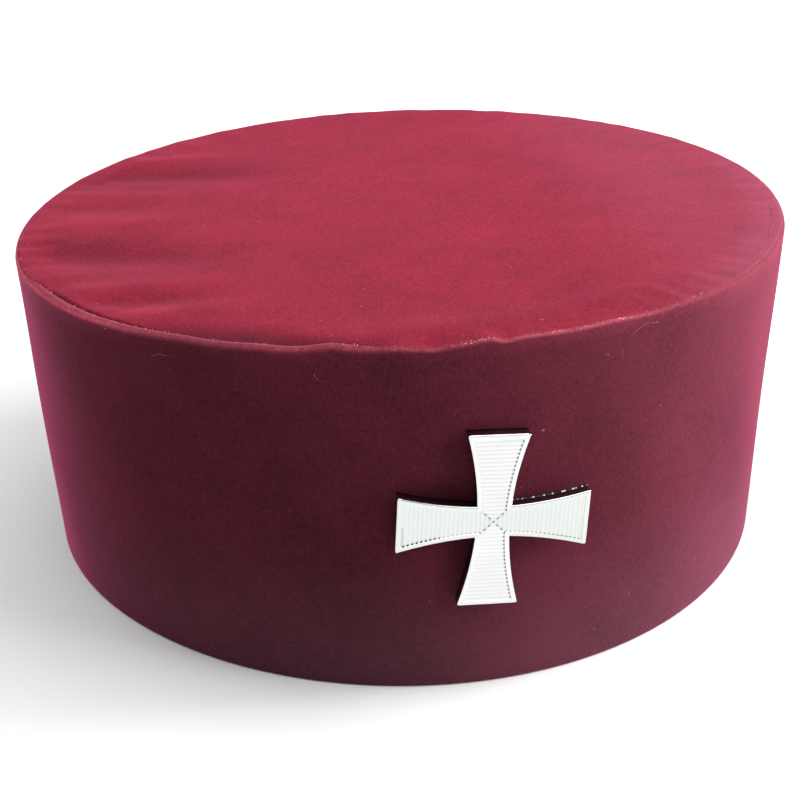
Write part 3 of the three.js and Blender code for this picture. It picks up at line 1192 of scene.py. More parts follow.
@dataclass
class CrownTop:
    """The velvet top panel: a flat disc with soft folds, sewn down into the seam at its edge.

    Each Band is measured inwards from the seam.
    """

    form: CapForm
    columns: int = 480
    rings: int = 100
    ring_power: float = 0.85
    under_rings: int = 24
    thick: float = 2.5
    drop: float = 0.4
    edge_round: float = 1.1
    edge_steps: int = 8
    edge_share: float = 0.95
    sharp: float = 50.0
    seam_fade: float = 7.0
    puckers: RoundNoise = RoundNoise(21, 24, 90, 0.06)
    pucker_band: Band = Band(3.0, 5.0)
    swell: Crest = Crest(-75.0, 30.0, 0.5)
    swell_band: Band = Band(8.0, 6.0)
    swell_start: float = 5.0
    lift_band: Band = Band(0.0, 12.0)
    bump_band: Band = Band(0.0, 3.0)
    pressed_part: Stretch = Stretch(-140.0, -127.0, -108.0, -98.0)
    pressed_reach: float = 2.6
    pressed_more: Crest = Crest(-121.0, 8.0, 3.6)
    pressed_drop: float = 0.7
    # Painted shade along the open seam.
    seam_turned: float = 0.2
    seam_band: Band = Band(0.0, 0.8)
    worn: float = 0.1
    worn_band: Band = Band(0.0, 0.35)
    # Painted shade of the folds: lighter on their ridges, darker in their dents.
    fold_shade: float = 0.36
    fold_limit: float = 1.5
    # Painted sheen of the right light on the top.
    right_sheen: float = 0.025
    right_sheen_start: float = 30.0
    right_sheen_full: float = 80.0
    edge_sheen: float = 0.03
    edge_sheen_part: Stretch = Stretch(-70.0, -40.0, -12.0, 20.0)
    edge_sheen_band: Band = Band(0.0, 5.0)
    # Bands of painted shade behind the front edge.
    painted_shade_bands: tuple[tuple[Crest, Band], ...] = (
        (Crest(-74.0, 22.0, -0.16), Band(6.0, 7.0)),
        (Crest(-78.0, 10.0, -0.34), Band(13.0, 6.0)),
    )
    folds: tuple[TopFold, ...] = (
        TopFold(63.0, -0.05, 0.35, 4.0, 28.0),
        TopFold(52.0, -0.27, -0.95, 8.0, 46.0),
        TopFold(35.5, -0.3, 0.3, 4.5, 30.0),
        TopFold(21.5, -0.15, -0.4, 5.0, 28.0),
        TopFold(8.0, -0.12, 0.35, 5.5, 40.0),
        TopFold(-14.0, -0.3, -1.3, 10.0, 42.0),
        TopFold(-43.0, -0.06, 0.45, 5.0, 30.0),
        TopFold(-53.0, -0.08, -0.65, 5.0, 28.0),
        TopFold(-63.0, -0.03, 0.25, 5.0, 28.0),
    )
    # Patches of painted shade.
    patches: tuple[PaintedShadePatch, ...] = (
        PaintedShadePatch(-60.0, 41.0, 24.0, 9.0, -0.42),
        PaintedShadePatch(-75.0, 45.0, 12.0, 9.0, -0.25),
        PaintedShadePatch(-80.0, -9.0, 12.0, 7.0, -0.25),
        PaintedShadePatch(-69.0, -45.0, 8.0, 7.0, -0.22),
        PaintedShadePatch(-57.0, -64.0, 8.0, 5.0, -0.2),
        PaintedShadePatch(-90.0, 3.0, 6.0, 7.0, -0.25),
    )

    @property
    def level(self) -> float:
        """Height of the panel's flat face."""
        return self.form.height - self.drop

    def section(self) -> tuple[Array, int]:
        """Section of the panel from the middle of its face, round its edge, to the middle below.

        Returns:
            The section's points as radius and height, and how many of them are velvet.
        """
        under = self.level - self.thick
        flat = self.form.seam_radius - self.edge_round
        face = flat * np.linspace(0.0, 1.0, self.rings + 1)[1:-1] ** self.ring_power
        below = flat * np.linspace(1.0, 0.0, self.under_rings + 1)[:-1]
        edge = arc_points((flat, self.level - self.edge_round), self.edge_round, 90.0, 0.0, self.edge_steps)
        above = np.stack([face, np.full(face.size, self.level)], axis=1)
        corner = np.array([[self.form.seam_radius, under]])
        back = np.stack([below, np.full(below.size, under)], axis=1)
        return np.concatenate([above, edge, corner, back]), len(above) + len(edge)

    def plan(self, angle: Array, radius: Array) -> Array:
        """Radius of each point when the round section is stretched to the lobed wall.

        The last stretch before the edge reaches further, over the roll to the panel's depth there.

        Args:
            angle: Angles round the panel, in radians.
            radius: Radius before the plan's lobes.

        Returns:
            The radius on the lobed plan.
        """
        form = self.form
        share = radius / form.seam_radius
        inside = form.wall_radius(angle) - form.wall - form.clearance
        reach = form.wall + form.clearance - form.panel_depth(angle) + form.edge_ripple(angle)
        return radius * (inside + reach * smooth_step(share, self.edge_share, 1.0)) / form.seam_radius

    def surface(self) -> Surface:
        """Carries the section round the lobed plan and lifts it by the edge, folds and puckers.

        The height adds the rise of the face and the folds, which stop short of the seam. Away from
        the open seam the edge isn't rounded down, but follows the wall's roll.

        Returns:
            The panel, with the marks of its pile and of its painted shade and sheen at each point.
        """
        section, velvet = self.section()
        angle = cap_angles(self.columns)
        radius, height = (column[:, None] for column in section.T)
        out = self.plan(angle, radius)
        x = out * np.cos(angle)
        y = out * np.sin(angle)
        from_seam = self.form.seam_radius - radius
        folds = self.fold_rise(x, y) * smooth_step(from_seam, 0.0, self.seam_fade)
        edge_drop = np.clip(self.level - height, 0.0, self.edge_round)
        lap = edge_drop * (1.0 - self.form.open_seam.share(angle)) - self.wrap(angle, out)
        above = height > self.level - self.thick + NEAR
        level = height + folds + self.face_rise(angle, radius) + lap * above
        grid = np.stack([x, y, level], axis=-1).reshape(-1, 3)
        middle = np.array([[0.0, 0.0, self.level], [0.0, 0.0, self.level - self.thick]])
        rows = len(section)
        faces = grid_faces(rows, self.columns, False, True)
        first = np.arange(self.columns)
        beside = (first + 1) % self.columns
        last = (rows - 1) * self.columns
        centre = np.full(self.columns, rows * self.columns)
        cap = np.stack([centre, beside, first], axis=1)
        base = np.stack([centre + 1, first + last, beside + last], axis=1)
        split = velvet * self.columns
        # The nap mark carries painted shade, the turned mark the crease's painted shade, and the last mark
        # a painted sheen.
        marks = {
            "nap_and_painted_shading": self.nap_and_painted_shading(x, y, folds, angle, from_seam),
            "wear": self.worn * self.form.rubbed.at(angle) * self.worn_band.at(from_seam),
            "painted_sheen": self.painted_sheen(x, angle, from_seam),
            "turned": self.turned(angle, from_seam),
        }
        marks = {mark: np.append(values.ravel(), [0.0, 0.0]) for mark, values in marks.items()}
        parts = [faces[:split], cap, faces[split:], base]
        return Surface(np.concatenate([grid, middle]), parts, [0, 0, 1, 1], marks)

    def fold_rise(self, x: Array, y: Array) -> Array:
        """Height of the folds: a bell across each one, which ends softly at its reach.

        Along its reach a fold keeps e to the power of minus the fourth power of the distance.

        Args:
            x: Places to the right.
            y: Places to the back.

        Returns:
            The height of all the folds together.
        """
        rise = np.zeros(np.shape(x))
        for fold in self.folds:
            left = -np.sqrt(max(self.form.seam_radius**2 - fold.start**2, 0.0))
            along = np.maximum(x - left, 0.0)
            across = y - fold.start - fold.slope * along
            kept = np.exp(-((along / fold.reach) ** 4))
            rise = rise + fold.rise * bell(across, 0.0, fold.half_width) * kept
        return rise

    def face_rise(self, angle: Array, radius: Array) -> Array:
        """Rise of the panel without its folds.

        It follows the edge's waves and bumps, which fade inwards, with small puckers near the
        seam, a soft swell behind the front right edge, and a dip where the edge is drawn down.

        Args:
            angle: Angles round the panel, in radians.
            radius: Radius before the plan's lobes.

        Returns:
            The rise above the panel's own level.
        """
        form = self.form
        from_seam = form.seam_radius - radius
        rise = form.edge_rise(angle, radius / form.seam_radius)
        rise = rise + self.puckers.at(angle) * self.pucker_band.at(from_seam)
        swell = self.swell.at(angle) * self.swell_band.at(from_seam)
        rise = rise + swell * smooth_step(from_seam, 0.0, self.swell_start)
        lift = self.drop * (1.0 - form.open_seam.share(angle))
        rise = rise + lift * self.lift_band.at(from_seam)
        rise = rise + form.edge_bumps(angle) * self.bump_band.at(from_seam)
        return rise - self.pressed_drop * self.pressed(angle, from_seam)

    def wrap(self, angle: Array, radius: Array) -> Array:
        """Fall of the panel's lapped edge, which follows the round of the wall's rolled edge.

        It is the roll's radius less the root of its square less the square of the distance out
        from the crest.

        Args:
            angle: Angles round the panel, in radians.
            radius: Radius of each point.

        Returns:
            The fall.
        """
        roll = self.form.roll
        out = np.clip(radius - self.form.wall_radius(angle) + roll, 0.0, roll)
        drop = roll - np.sqrt(roll**2 - out**2)
        return drop * (1.0 - self.form.tightness * self.form.rubbed.at(angle))

    def pressed(self, angle: Array, from_seam: Array) -> Array:
        """Share of the front left that is drawn down into its seam: a bell as wide as it reaches there."""
        reach = self.pressed_reach + self.pressed_more.at(angle)
        return self.pressed_part.share(angle) * bell(from_seam, 0.0, reach)

    def turned(self, angle: Array, from_seam: Array) -> Array:
        """Share of painted crease shade, given as turned pile: the pressed stretch, and a narrow band along
        the open seam.
        """
        seam = self.seam_turned * self.form.open_seam.share(angle) * self.seam_band.at(from_seam)
        return np.maximum(self.pressed(angle, from_seam), seam)

    def nap_and_painted_shading(self, x: Array, y: Array, folds: Array, angle: Array, from_seam: Array) -> Array:
        """Painted shading over the lie of the pile: shade painted along the folds, painted shade bands
        behind the edge and painted shade patches.

        Args:
            x: Places to the right.
            y: Places to the back.
            folds: Height of the folds.
            angle: Angles round the panel, in radians.
            from_seam: Distance in from the seam.

        Returns:
            The shift of the pile's shade.
        """
        # Shade painted along the folds, in bands and in patches.
        shade = self.fold_shade * np.clip(folds, -self.fold_limit, self.fold_limit)
        for round_it, across_it in self.painted_shade_bands:
            shade = shade + round_it.at(angle) * across_it.at(from_seam)
        for patch in self.patches:
            shade = shade + patch.shade * bell(x, patch.x, patch.half_x) * bell(y, patch.y, patch.half_y)
        return shade

    def painted_sheen(self, x: Array, angle: Array, from_seam: Array) -> Array:
        """Share of painted sheen from the right light, which grows to the right and is most along the right
        edge.
        """
        edge = self.edge_sheen * self.edge_sheen_part.share(angle) * self.edge_sheen_band.at(from_seam)
        return self.right_sheen * smooth_step(x, self.right_sheen_start, self.right_sheen_full) + edge

    def dress(self, velvet: bpy.types.Material, reverse: bpy.types.Material) -> bpy.types.Object:
        """Makes the panel's piece.

        Args:
            velvet: Finish of the face.
            reverse: Finish of the underside.

        Returns:
            The panel.
        """
        top = self.surface().piece("velvet_top", [velvet, reverse], self.sharp)
        fit(top, Node.CROWN_TOP)
        return top


@dataclass(frozen=True)
class ArmLook:
    """Painted shade and painted green reflection of one arm: the side of its dots and their share, their
    share near the middle, its lines, and its reflection.
    """

    side: int
    shade_amount: float
    inner_shade: float
    line_shade: float
    cast: float


@dataclass(frozen=True)
class EdgeLevel:
    """One level of the badge's edge: its height above the back, its spread outwards and its painted shade.
    """

    height: float
    spread: float
    painted_shade: float


@dataclass
class CrossBadge:
    """The silver cross pattée: four flared arms with a plain rim, ribs and a mitred middle."""

    form: CapForm
    span: float = 41.4
    end_width: float = 13.5
    waist: float = 7.5
    side_bow: float = 0.5
    corner_round: float = 0.7
    thick: float = 2.8
    rim: float = 1.1
    recess: float = 0.6
    edge_round: float = 0.35
    edge_steps: int = 4
    inner_slope: float = 0.2
    rib_pitch: float = 0.95
    rib_rise: float = 0.5
    rib_samples: int = 10
    groove: float = 0.05
    mitre_depth: float = 0.05
    mitre_half: float = 0.16
    centre_height: float = 43.7
    side: float = 0.3
    turn: float = -4.2
    swing: float = -2.0
    gap: float = 0.4
    sharp: float = 50.0
    least_row: float = 0.004
    rim_foot: tuple[float, ...] = (-0.12, -0.04, 0.0, 0.05, 0.1, 0.15)
    foot_steps: tuple[float, ...] = (0.02, 0.16, 0.3)
    mitre_steps: tuple[float, ...] = (0.06, 0.14, 0.26)
    inner_columns: int = 5
    line_half: float = 0.2
    dot_half: float = 0.26
    dot_inset: float = 0.14
    dot_reach: float = 0.23
    cross_shade: float = 0.9
    cross_half: float = 0.26
    outer_start: float = 0.5
    outer_full: float = 0.6
    # Each arm's painted shade and painted green reflection.
    arms: tuple[ArmLook, ...] = (
        ArmLook(1, 1.0, 1.0, 0.15, 0.3),
        ArmLook(-1, 2.0, 0.25, 0.1, 1.0),
        ArmLook(-1, 1.0, 1.0, 0.12, 0.0),
        ArmLook(1, 0.5, 1.0, 0.1, 1.0),
    )
    # The edge's sides and back take painted shade.
    edge_levels: tuple[EdgeLevel, ...] = (
        EdgeLevel(2.3, 0.0, 0.6),
        EdgeLevel(0.7, 0.0, 0.75),
        EdgeLevel(0.36, 0.01, 0.0),
        EdgeLevel(0.3, 0.2, 0.0),
        EdgeLevel(0.06, 0.2, 0.0),
        EdgeLevel(0.0, 0.0, 0.3),
    )
    # The lip is painted dark, broken by bright glints.
    lip_start: float = 0.885
    lip_fade: float = 1.5
    lip_dark: float = 0.95
    lip_bright: float = 0.85
    lip_glints: RoundNoise = RoundNoise(51, 40, 330)
    glint_from: float = 0.2
    glint_full: float = 1.2

    @property
    def stand_off(self) -> float:
        """Distance of the back from the wall along the post, so that the swung badge keeps its gap.

        Returns:
            The distance.
        """
        radius = float(self.form.wall_radius(FRONT, self.centre_height / self.form.height))
        swing = np.radians(self.swing)
        return (radius + self.gap - self.side * np.sin(swing)) / np.cos(swing) - radius

    @property
    def rim_steps(self) -> Array:
        """Distances in from the outline at which the rim's section is sampled, to its inner foot.

        Returns:
            Steps of one less a cosine round the edge, then the steps about the inner foot.
        """
        edge = self.edge_round * (1.0 - np.cos(np.linspace(0.0, np.pi / 2.0, self.edge_steps + 1)))
        inner = self.rim + np.array([*self.rim_foot, self.inner_slope])
        return np.concatenate([edge, inner])

    def half_width(self, along: Array) -> Array:
        """Half the arm's width: it flares from the waist to the end, and its sides bow in.

        Args:
            along: Distance from the badge's middle along the arm.

        Returns:
            A straight line from waist to end less a parabola.
        """
        waist = self.waist / 2.0
        share = np.clip((along - waist) / (self.span / 2.0 - waist), 0.0, 1.0)
        return waist + (self.end_width / 2.0 - waist) * share - 4.0 * self.side_bow * share * (1.0 - share)

    def rim_height(self, inset: Array) -> Array:
        """Height of the rim: a quarter round at the outline, a flat, and a steep fall inside.

        Args:
            inset: Distance in from the outline.

        Returns:
            The rim's height above the recess floor.
        """
        into = np.clip(inset / self.edge_round, 0.0, 1.0)
        outside = self.edge_round * (1.0 - np.sqrt(1.0 - (1.0 - into) ** 2))
        inside = np.clip((inset - self.rim) / self.inner_slope, 0.0, 1.0)
        return (self.recess - outside) * (1.0 - inside)

    def rib_share(self, along: Array) -> Array:
        """Share of the ribs' height along an arm: one minus the sixth power of the place across a rib."""
        across = 2.0 * np.mod(along / self.rib_pitch, 1.0) - 1.0
        return 1.0 - across**6

    def arm_rows(self) -> Array:
        """Distances along the arm at which its face is sampled.

        Returns:
            Even steps over the ribs, with the rim's own steps at the mitre and at the end.
        """
        half = self.span / 2.0
        ribbed = half - self.rim_steps[-1]
        ribs = np.linspace(0.0, ribbed, int(ribbed / self.rib_pitch * self.rib_samples))
        rows = np.sort(np.concatenate([ribs, self.waist / 2.0 - self.rim_steps, half - self.rim_steps]))
        return rows[np.append(True, np.diff(rows) > self.least_row)]

    def arm_plan(self) -> tuple[Array, Array, Array]:
        """Places of one arm's grid: each row lies across the arm, as its ribs do.

        A column in the rim keeps its distance from the side, and a column inside keeps its share
        of the width. No column passes the mitre, where the distance across equals the distance
        along.

        Returns:
            Each point's distance along and across the arm, and its distance in from the outline.
        """
        steps = self.rim_steps
        along = self.arm_rows()[:, None]
        width = self.half_width(along)
        rim = np.minimum(width - steps[None, :], along)
        foot = width - steps[-1] - np.array(self.foot_steps)[None, :]
        near = np.maximum(np.minimum(foot, along - np.array(self.mitre_steps)[None, :]), 0.0)
        shares = np.linspace(0.0, 1.0, self.inner_columns + 1)[-2::-1]
        right = np.concatenate([rim, near, near[:, -1:] * shares[None, :]], axis=1)
        across = np.concatenate([right, -right[:, -2::-1]], axis=1)
        along = np.broadcast_to(along, across.shape)
        return along, across, np.minimum(width - np.abs(across), self.span / 2.0 - along)

    def arm_height(self, along: Array, across: Array, inset: Array) -> Array:
        """Height of one arm's face: the larger of the rim's and the ribs', which sink along the mitre.

        Args:
            along: Distance along the arm.
            across: Distance across the arm.
            inset: Distance in from the outline.

        Returns:
            The height above the badge's back.
        """
        valley = bell(along - np.abs(across), 0.0, self.mitre_half)
        raised = self.rib_rise - self.groove * (1.0 - self.rib_share(along)) - self.mitre_depth * valley
        return self.thick - self.recess + np.maximum(self.rim_height(inset), raised * (inset > self.rim))

    def arm_painted_shade(self, along: Array, across: Array, inset: Array) -> Array:
        """Painted shade of each arm: dots at the groove ends along one side, groove lines and a dotted
        mitre.

        Each is a product of bells: across the groove, and in from the rim or away from the mitre.

        Args:
            along: Distance along the arm.
            across: Distance across the arm.
            inset: Distance in from the outline.

        Returns:
            The share of painted shade at each point of each arm.
        """
        half = self.span / 2.0
        groove = (np.mod(along / self.rib_pitch + 0.5, 1.0) - 0.5) * self.rib_pitch
        inner = inset > self.rim
        dots = inner * bell(groove, 0.0, self.dot_half)
        foot = bell(inset, self.rim + self.dot_inset, self.dot_reach) * np.sign(across) * dots
        cross = self.cross_shade * bell(along - np.abs(across), 0.0, self.cross_half) * dots
        line = inner * bell(groove, 0.0, self.line_half)
        outer = smooth_step(along, self.outer_start * half, self.outer_full * half)
        arm_shades = []
        for arm in self.arms:
            side = arm.side * arm.shade_amount * foot * (arm.inner_shade + (1.0 - arm.inner_shade) * outer)
            arm_shades.append(np.maximum(np.minimum(side, 1.0), np.maximum(arm.line_shade * line, cross)))
        return np.stack(arm_shades)

    def rounded(self, along: Array, across: Array) -> tuple[Array, Array]:
        """Rounds the corners of an arm's end by the map of a square on a disc.

        Args:
            along: Distance along the arm.
            across: Distance across the arm.

        Returns:
            The places across and along the arm.
        """
        corner = self.corner_round
        a = np.clip((np.abs(across) - (self.half_width(along) - corner)) / corner, 0.0, 1.0)
        b = np.clip((along - (self.span / 2.0 - corner)) / corner, 0.0, 1.0)
        x = across + np.sign(across) * corner * a * (np.sqrt(1.0 - b * b / 2.0) - 1.0)
        y = along + corner * b * (np.sqrt(1.0 - a * a / 2.0) - 1.0)
        return x, y

    def edge_rings(self, rim: Array) -> tuple[Array, Array]:
        """Carries the outline back through the levels of the edge.

        Each level moves it outwards along its normal by the level's own spread. Only the last
        stretch of the outline has this thin lip, and it fades out at the notch. The sides and back
        are painted dark, and the lip's painted dark is broken by bright glints.

        Args:
            rim: The outline's points in order, in the badge's plane.

        Returns:
            The points, level by level, and the share of painted shade at each.
        """
        high, out, dark = np.array([astuple(level) for level in self.edge_levels]).T[:, :, None]
        ahead = np.roll(rim, -1, axis=0) - np.roll(rim, 1, axis=0)
        normal = unit(np.stack([ahead[:, 1], -ahead[:, 0]], axis=1))
        from_notch = np.max(np.abs(rim), axis=1) - self.waist / 2.0
        around = np.linspace(0.0, 1.0, len(rim), endpoint=False)
        lip = (around > self.lip_start).astype(float)
        spread = normal * (smooth_step(from_notch, 0.0, self.lip_fade) * lip)[:, None]
        ring = rim[None] + spread[None] * out[:, :, None]
        level = np.broadcast_to(high[:, :, None], (len(high), len(rim), 1))
        glints = smooth_step(self.lip_glints.at(2.0 * np.pi * around), self.glint_from, self.glint_full)
        painted_shade = np.where(out > 0.0, self.lip_dark - self.lip_bright * (glints * lip)[None], dark)
        return np.concatenate([ring, level], axis=2).reshape(-1, 3), painted_shade.ravel()

    def back_faces(self, last: Array, side: int, columns: int) -> list[Array]:
        """Faces of the flat back: a strip along each arm, the arm's end and a square in the middle.

        Args:
            last: Numbers of the outline's points on the back, by arm.
            side: Number of points along one side of an arm.
            columns: Number of points across an arm.

        Returns:
            The strips, the ends and the square.
        """
        inner = np.concatenate([np.roll(last[:, -1], 1)[:, None], last[:, :side]], axis=1)
        other = last[:, ::-1][:, : side + 1]
        strip = np.stack([inner[:, :-1], inner[:, 1:], other[:, 1:], other[:, :-1]], axis=-1)
        ends = last[:, side - 1 : side + columns + 1]
        return [strip.reshape(-1, 4)[:, ::-1], ends[:, ::-1], last[::-1, -1][None]]

    def surface(self) -> Surface:
        """Turns the arm four times, then adds the edge, its thin lip and the flat back.

        Returns:
            The badge in its own plane, with its back at zero height.
        """
        along, across, inset = self.arm_plan()
        rows, columns = along.shape
        each = rows * columns
        arms = len(self.arms)
        height = self.arm_height(along, across, inset).reshape(-1, 1)
        flat = np.stack(self.rounded(along, across), axis=-1).reshape(-1, 2)
        number = np.arange(each).reshape(rows, columns)
        notch = int(np.argmin(np.abs(self.arm_rows() - self.waist / 2.0)))
        edge = np.concatenate([number[notch + 1 : -1, 0], number[-1], number[-2 : notch - 1 : -1, -1]])
        points: list[Array] = []
        for turn in np.radians(360.0 / arms * np.arange(arms)):
            spin = np.array([[np.cos(turn), -np.sin(turn)], [np.sin(turn), np.cos(turn)]])
            points.append(np.concatenate([flat @ spin.T, height], axis=1))
        front = np.concatenate(points)
        start = np.arange(arms) * each
        faces = (grid_faces(rows, columns)[None] + start[:, None, None]).reshape(-1, 4)
        outline = (edge[None] + start[:, None]).ravel()
        back, dark = self.edge_rings(front[outline, :2])
        numbers = np.concatenate([outline, np.arange(len(back)) + len(front)])
        skirt = numbers[grid_faces(len(self.edge_levels) + 1, len(outline), False, True)]
        last = numbers[-len(outline) :].reshape(arms, -1)
        flat_back = self.back_faces(last, rows - notch - 2, columns)
        # Painted shade on the arms and the edge, and a painted green reflection on the arms.
        shade_amount = self.arm_painted_shade(along, across, inset).ravel()
        cast = np.repeat([arm.cast for arm in self.arms], each)
        shape = Surface(
            np.concatenate([front, back]),
            [faces, skirt, *flat_back],
            [0] * (2 + len(flat_back)),
            {"painted_shade": np.append(shade_amount, dark), "cast": np.append(cast, np.zeros(dark.size))},
        )
        return shape.joined()

    def stand(self, points: Array) -> Array:
        """Stands the badge on the front of the wall.

        It is turned in its own plane, leans out with the wall's flare and is swung to the left
        about the upright.

        Args:
            points: Points in the badge's own plane.

        Returns:
            The points on the cap.
        """
        form = self.form
        lean = np.arctan2(form.wall_radius(FRONT) - form.wall_radius(FRONT, 0.0), form.height)
        spin = Matrix.Rotation(np.radians(self.turn), 3, "Z")
        tilt = Matrix.Rotation(np.pi / 2.0 + float(lean), 3, "X")
        swing = Matrix.Rotation(np.radians(self.swing), 3, "Z")
        off = form.wall_radius(FRONT, self.centre_height / form.height) + self.stand_off
        place = np.array([self.side, -float(off), self.centre_height])
        return points @ np.array(swing @ tilt @ spin).T + place

    def dress(self, silver: bpy.types.Material) -> bpy.types.Object:
        """Makes the badge's piece.

        Args:
            silver: Its finish.

        Returns:
            The badge.
        """
        shape = self.surface()
        shape.points = self.stand(shape.points)
        return fit(shape.piece("silver_cross", [silver], self.sharp), Node.CROSS_BADGE)


@dataclass
class BadgePost:
    """The plain headed post that holds the badge through the wall."""

    badge: CrossBadge
    radius: float = 1.5
    reach_in: float = 1.2
    head_radius: float = 5.0
    head_thick: float = 1.2
    head_clearance: float = 0.65
    head_round: float = 0.4
    round_steps: int = 4
    sides: int = 48
    sharp: float = 40.0

    def surface(self) -> Surface:
        """Turns the post's section about the badge's axis: each radius times cosine and sine.

        Returns:
            The post, in the badge's own plane.
        """
        shoulder = -(self.badge.stand_off + self.badge.form.wall + self.head_clearance)
        low_side = shoulder - self.head_thick + self.head_round
        high_side = shoulder - self.head_round
        edge = self.head_radius - self.head_round
        low = arc_points((edge, low_side), self.head_round, -90.0, 0.0, self.round_steps)
        high = arc_points((edge, high_side), self.head_round, 0.0, 90.0, self.round_steps)
        shank = np.array([[self.radius, shoulder], [self.radius, self.reach_in]])
        radius, level = (column[:, None] for column in np.concatenate([low, high, shank]).T)
        return Surface.tubes(round_points(radius, ring_angles(self.sides)[None, :], level)[None])

    def dress(self, metal: bpy.types.Material) -> bpy.types.Object:
        """Makes the post's piece.

        Args:
            metal: Its finish.

        Returns:
            The post.
        """
        shape = self.surface()
        shape.points = self.badge.stand(shape.points)
        return fit(shape.piece("fixing_post", [metal], self.sharp), Node.BADGE_POST)


@dataclass
class SeamStitching:
    """The row of stitches that sews the top panel to the wall.

    At the front left they lie down in the crease, and at the right they show on the panel.
    """

    form: CapForm
    top: CrownTop
    seed: int = 31
    pitch: float = 2.6
    pitch_scatter: float = 0.08
    skew: float = 0.25
    length: float = 1.9
    thick: float = 0.32
    least_depth: float = 0.55
    depth: float = 0.7
    arch: float = 0.2
    shown_length: float = 1.1
    shown_thick: float = 0.22
    shown_inset: float = 1.7
    blunt: float = 0.02
    lengthwise: int = 7
    sides: int = 6

    def surface(self) -> Surface:
        """Lays a short round-ended thread at each pitch along the seam.

        A thread's radius is half its thickness times the root of one minus the fourth power of
        its place along itself, and its middle arches up out of the cloth by a parabola.

        Returns:
            All the stitches as one shape.
        """
        form = self.form
        count = int(2.0 * np.pi * form.seam_radius / self.pitch)
        draw = np.random.default_rng(self.seed)
        place = np.arange(count) + draw.uniform(-self.pitch_scatter, self.pitch_scatter, count)
        skew = draw.uniform(-self.skew, self.skew, count)[:, None, None]
        middle = (2.0 * np.pi * place / count - 1.5 * np.pi)[:, None, None]
        sunk = form.open_seam.share(middle) > 0.5
        shown = (sunk | (form.line_seam.share(middle) > 0.5)).ravel()
        middle, skew, sunk = middle[shown], skew[shown], sunk[shown]
        along = np.linspace(-1.0, 1.0, self.lengthwise)[None, :, None]
        around = ring_angles(self.sides)[None, None, :]
        length = np.where(sunk, self.length, self.shown_length)
        angle = middle + along * length / 2.0 / form.seam_radius
        thick = np.where(sunk, self.thick, self.shown_thick)
        girth = thick / 2.0 * np.sqrt(np.clip(1.0 - along**4, self.blunt, 1.0))
        seam = form.wall_radius(angle) - form.wall - form.clearance / 2.0
        radius = seam + skew * along + girth * np.cos(around)
        depth = self.least_depth + self.depth * form.open_seam.share(angle)
        low = form.height - depth + form.edge_rise(angle) + self.arch * (1.0 - along**2)
        high = self.top.level + self.top.face_rise(angle, np.array(form.seam_radius - self.shown_inset))
        level = np.where(sunk, low, high) + girth * np.sin(around)
        return Surface.tubes(round_points(radius, angle, level))

    def dress(self, thread: bpy.types.Material) -> bpy.types.Object:
        """Makes the stitches' piece in its thread."""
        return fit(self.surface().piece("seam_stitches", [thread]))


@dataclass(frozen=True)
class StrandGroup:
    """One stretch of loose pile: its count, where it grows, how it leans, and its strands' look.

    A lean of 90 degrees stands on the crest, less is on the outside and more is on the inside.
    """

    count: int
    start: float
    end: float
    lean: float
    lean_half: float
    shortest: float
    longest: float
    thick: float
    pale: float


